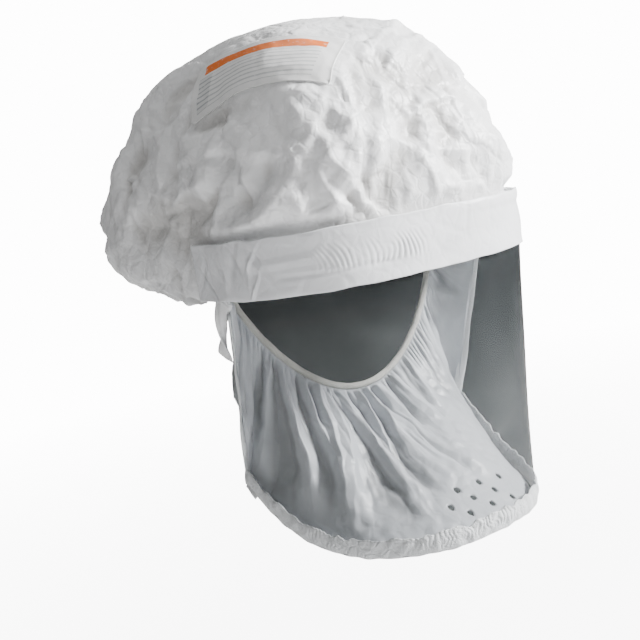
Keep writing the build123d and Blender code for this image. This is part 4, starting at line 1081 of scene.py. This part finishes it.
# the neck opening's elastic, gathered into the rear of the crown
rim = {"halfWide": 85.3, "halfDeep": 104.3, "z": 9.8, "radius": 2.5, "steps": 400, "gathers": 61}
rimTurn = np.linspace(0, math.pi, rim["steps"])
rimY = np.sin(rimTurn) * rim["halfDeep"] + 5
rimPath = np.column_stack([np.cos(rimTurn) * rim["halfWide"], rimY, np.full(len(rimTurn), rim["z"])])
ruffle = 0.9 + 0.1 * np.abs(np.sin(np.linspace(0, rim["gathers"] * math.pi, rim["steps"])))
ruffle += 0.03 * ripple(np.linspace(0, 300, rim["steps"])[:, None] * np.array([[1.0, 0]]), 15, 90)
rimElastic = sweepPiece("rimElastic", "elastic", rimPath, (0, 0, 1), roundSection(rim["radius"], 16),
                        growth=pairs(ruffle * 0.9, ruffle))
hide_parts("rim_elastic")
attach(rimElastic, "root")

duct = {"start": 24, "end": 142, "innerY": 106.1, "innerZ": 64.9, "width": 60, "height": 12}
angles = np.radians(np.linspace(duct["start"], duct["end"], 170))
outY, outZ = np.cos(angles) / duct["innerY"], np.sin(angles) / duct["innerZ"]
size = np.hypot(outY, outZ)
ductY = harness["headY"] + np.cos(angles) * duct["innerY"] + outY / size * duct["height"] / 2
ductZ = harness["archZ"] + np.sin(angles) * duct["innerZ"] + outZ / size * duct["height"] / 2
ductPath = np.column_stack([np.zeros(len(angles)), ductY, ductZ])
loop = np.linspace(0, 2 * math.pi, 72, endpoint=False)
ductSection = squarish(loop, duct["width"] / 2, duct["height"] / 2, 0.45, 0.6)
airDuct = sweepPiece("airDuct", "duct_film", ductPath, (1, 0, 0), ductSection)
crinkle = np.array([v.co for v in airDuct.data.vertices]) * 1000
inwards = np.repeat(ductPath, len(loop), axis=0) - crinkle
dent = 0.5 * np.abs(ripple(crinkle, 16, 95)) + 0.25 * np.abs(ripple(crinkle, 6, 96))
moved = crinkle + unit(inwards) * np.minimum(dent, 1.2)[:, None]
airDuct.data.vertices.foreach_set("co", (moved * 0.001).astype(np.float32).ravel())
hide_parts("air_duct")
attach(airDuct, "root")
print("straps, pads and duct made")

for part in frame["record"]["subparts"]:
    node = frame["nodes"][part["node"]]
    node.data.materials.clear()
    node.data.materials.append(paints[part["material_slot"]])
print("finishes given")

studio = {
    "target": (-0.01614, 0.01239, -0.03309), "back": (-0.54841, -0.82406, 0.14202),
    "upward": (0.21852, 0.02270, 0.97557),
    "distance": 0.70694, "lens": 56.87, "floor": -0.30, "white": 14.0, "fill": 0.15,
    "floorNear": 0.35, "floorFar": 1.3, "floorLeast": 0.55, "skyLevels": (-0.08, -0.36),
    "floorLevels": (2.2, 0.3),
    "seenThrough": [(0.0, (0.022, 0.024, 0.025)), (1.0, (0.115, 0.128, 0.128))],
}
target, back, upward = (Vector(studio[key]) for key in ("target", "back", "upward"))
back.normalize()
sideways = upward.cross(back).normalized()
upward = back.cross(sideways)


def isCameraRay(paint):
    return paint.node("ShaderNodeLightPath", output="Is Camera Ray")


def behindFilm(paint, kind, level, levels, plain):
    # a dark backdrop where the camera looks through the clear film, and the plain look elsewhere
    seen = (paint.node("ShaderNodeLightPath", output="Transparent Depth") > 0.5) * isCameraRay(paint)
    values = {"Value": level, "From Min": levels[0], "From Max": levels[1]}
    level = paint.node("ShaderNodeMapRange", {}, values)
    backdrop = paint.node("ShaderNodeValToRGB", {"stops": studio["seenThrough"]}, {0: level})
    dark = paint.node(kind, {}, {0: backdrop, 1: 1.0})
    return paint.node("ShaderNodeMixShader", {}, {0: seen, 1: plain, 2: dark})


sky = Paint(bpy.data.worlds.new("studio"))
bpy.context.scene.world = sky.owner
direction = sky.node("ShaderNodeTexCoord", output="Generated")
pale = sky.node("ShaderNodeBackground", {}, {0: (1, 1, 1), 1: studio["fill"]})
bright = sky.node("ShaderNodeBackground", {}, {0: (1, 1, 1), 1: studio["white"]})
plain = sky.node("ShaderNodeMixShader", {}, {0: isCameraRay(sky), 1: pale, 2: bright})
upwards = sky.node("ShaderNodeSeparateXYZ", {}, {0: direction}, output=2)
sky.end("World Output", behindFilm(sky, "ShaderNodeBackground", upwards, studio["skyLevels"], plain))

floorMesh = bpy.data.meshes.new("floor")
around = [k * math.pi / 48 for k in range(96)]
ring = [(math.cos(angle) * 3.5, math.sin(angle) * 3.5, studio["floor"]) for angle in around]
floorMesh.from_pydata(ring, [], [list(range(96))])
floor = bpy.data.objects.new("floor", floorMesh)
bpy.context.scene.collection.objects.link(floor)
ground = newPaint("floorPaint")
ground.set("Base Color", (0.92, 0.92, 0.92))
ground.set("Roughness", 0.9)
away = ground.node("ShaderNodeVectorMath", {"operation": "LENGTH"}, {0: ground.place()}, output="Value")
bright = ground.node("ShaderNodeEmission", {}, {0: (1, 1, 1), 1: studio["white"]})
spread = ground.node("ShaderNodeMapRange", {}, {
    "Value": away, "From Min": studio["floorNear"], "From Max": studio["floorFar"],
    "To Min": studio["floorLeast"],
})
matt = Wire(ground, ground.shader.outputs[0])
plain = ground.node("ShaderNodeMixShader", {}, {0: spread * isCameraRay(ground), 1: matt, 2: bright})
ground.end("Material Output", behindFilm(ground, "ShaderNodeEmission", away, studio["floorLevels"], plain))
floorMesh.materials.append(ground.owner)


def softLight(name, place, size, power, aim=target):
    lamp = bpy.data.lights.new(name, "AREA")
    lamp.shape, lamp.size, lamp.energy = "DISK", size, power
    holder = bpy.data.objects.new(name, lamp)
    bpy.context.scene.collection.objects.link(holder)
    holder.location = place
    holder.rotation_mode = "QUATERNION"
    holder.rotation_quaternion = (Vector(place) - aim).to_track_quat("Z", "Y")
    holder.visible_camera = False


softLight("key", target + back * 0.05 + sideways * 1.15 + Vector((0, 0, 0.8)), 0.3, 64)
softLight("top", target + Vector((0.1, 0.1, 1.5)), 0.7, 8)
softLight("front", target + back * 1.3 + sideways * 0.25 + Vector((0, 0, 0.45)), 0.7, 3.5)

eye = bpy.data.cameras.new("camera")
eye.lens, eye.sensor_width = studio["lens"], 36
cameraObject = bpy.data.objects.new("camera", eye)
bpy.context.scene.collection.objects.link(cameraObject)
turned = Matrix((sideways, upward, back)).transposed().to_4x4()
turned.translation = target + back * studio["distance"]
cameraObject.matrix_world = turned
bpy.context.scene.camera = cameraObject
print("studio made")
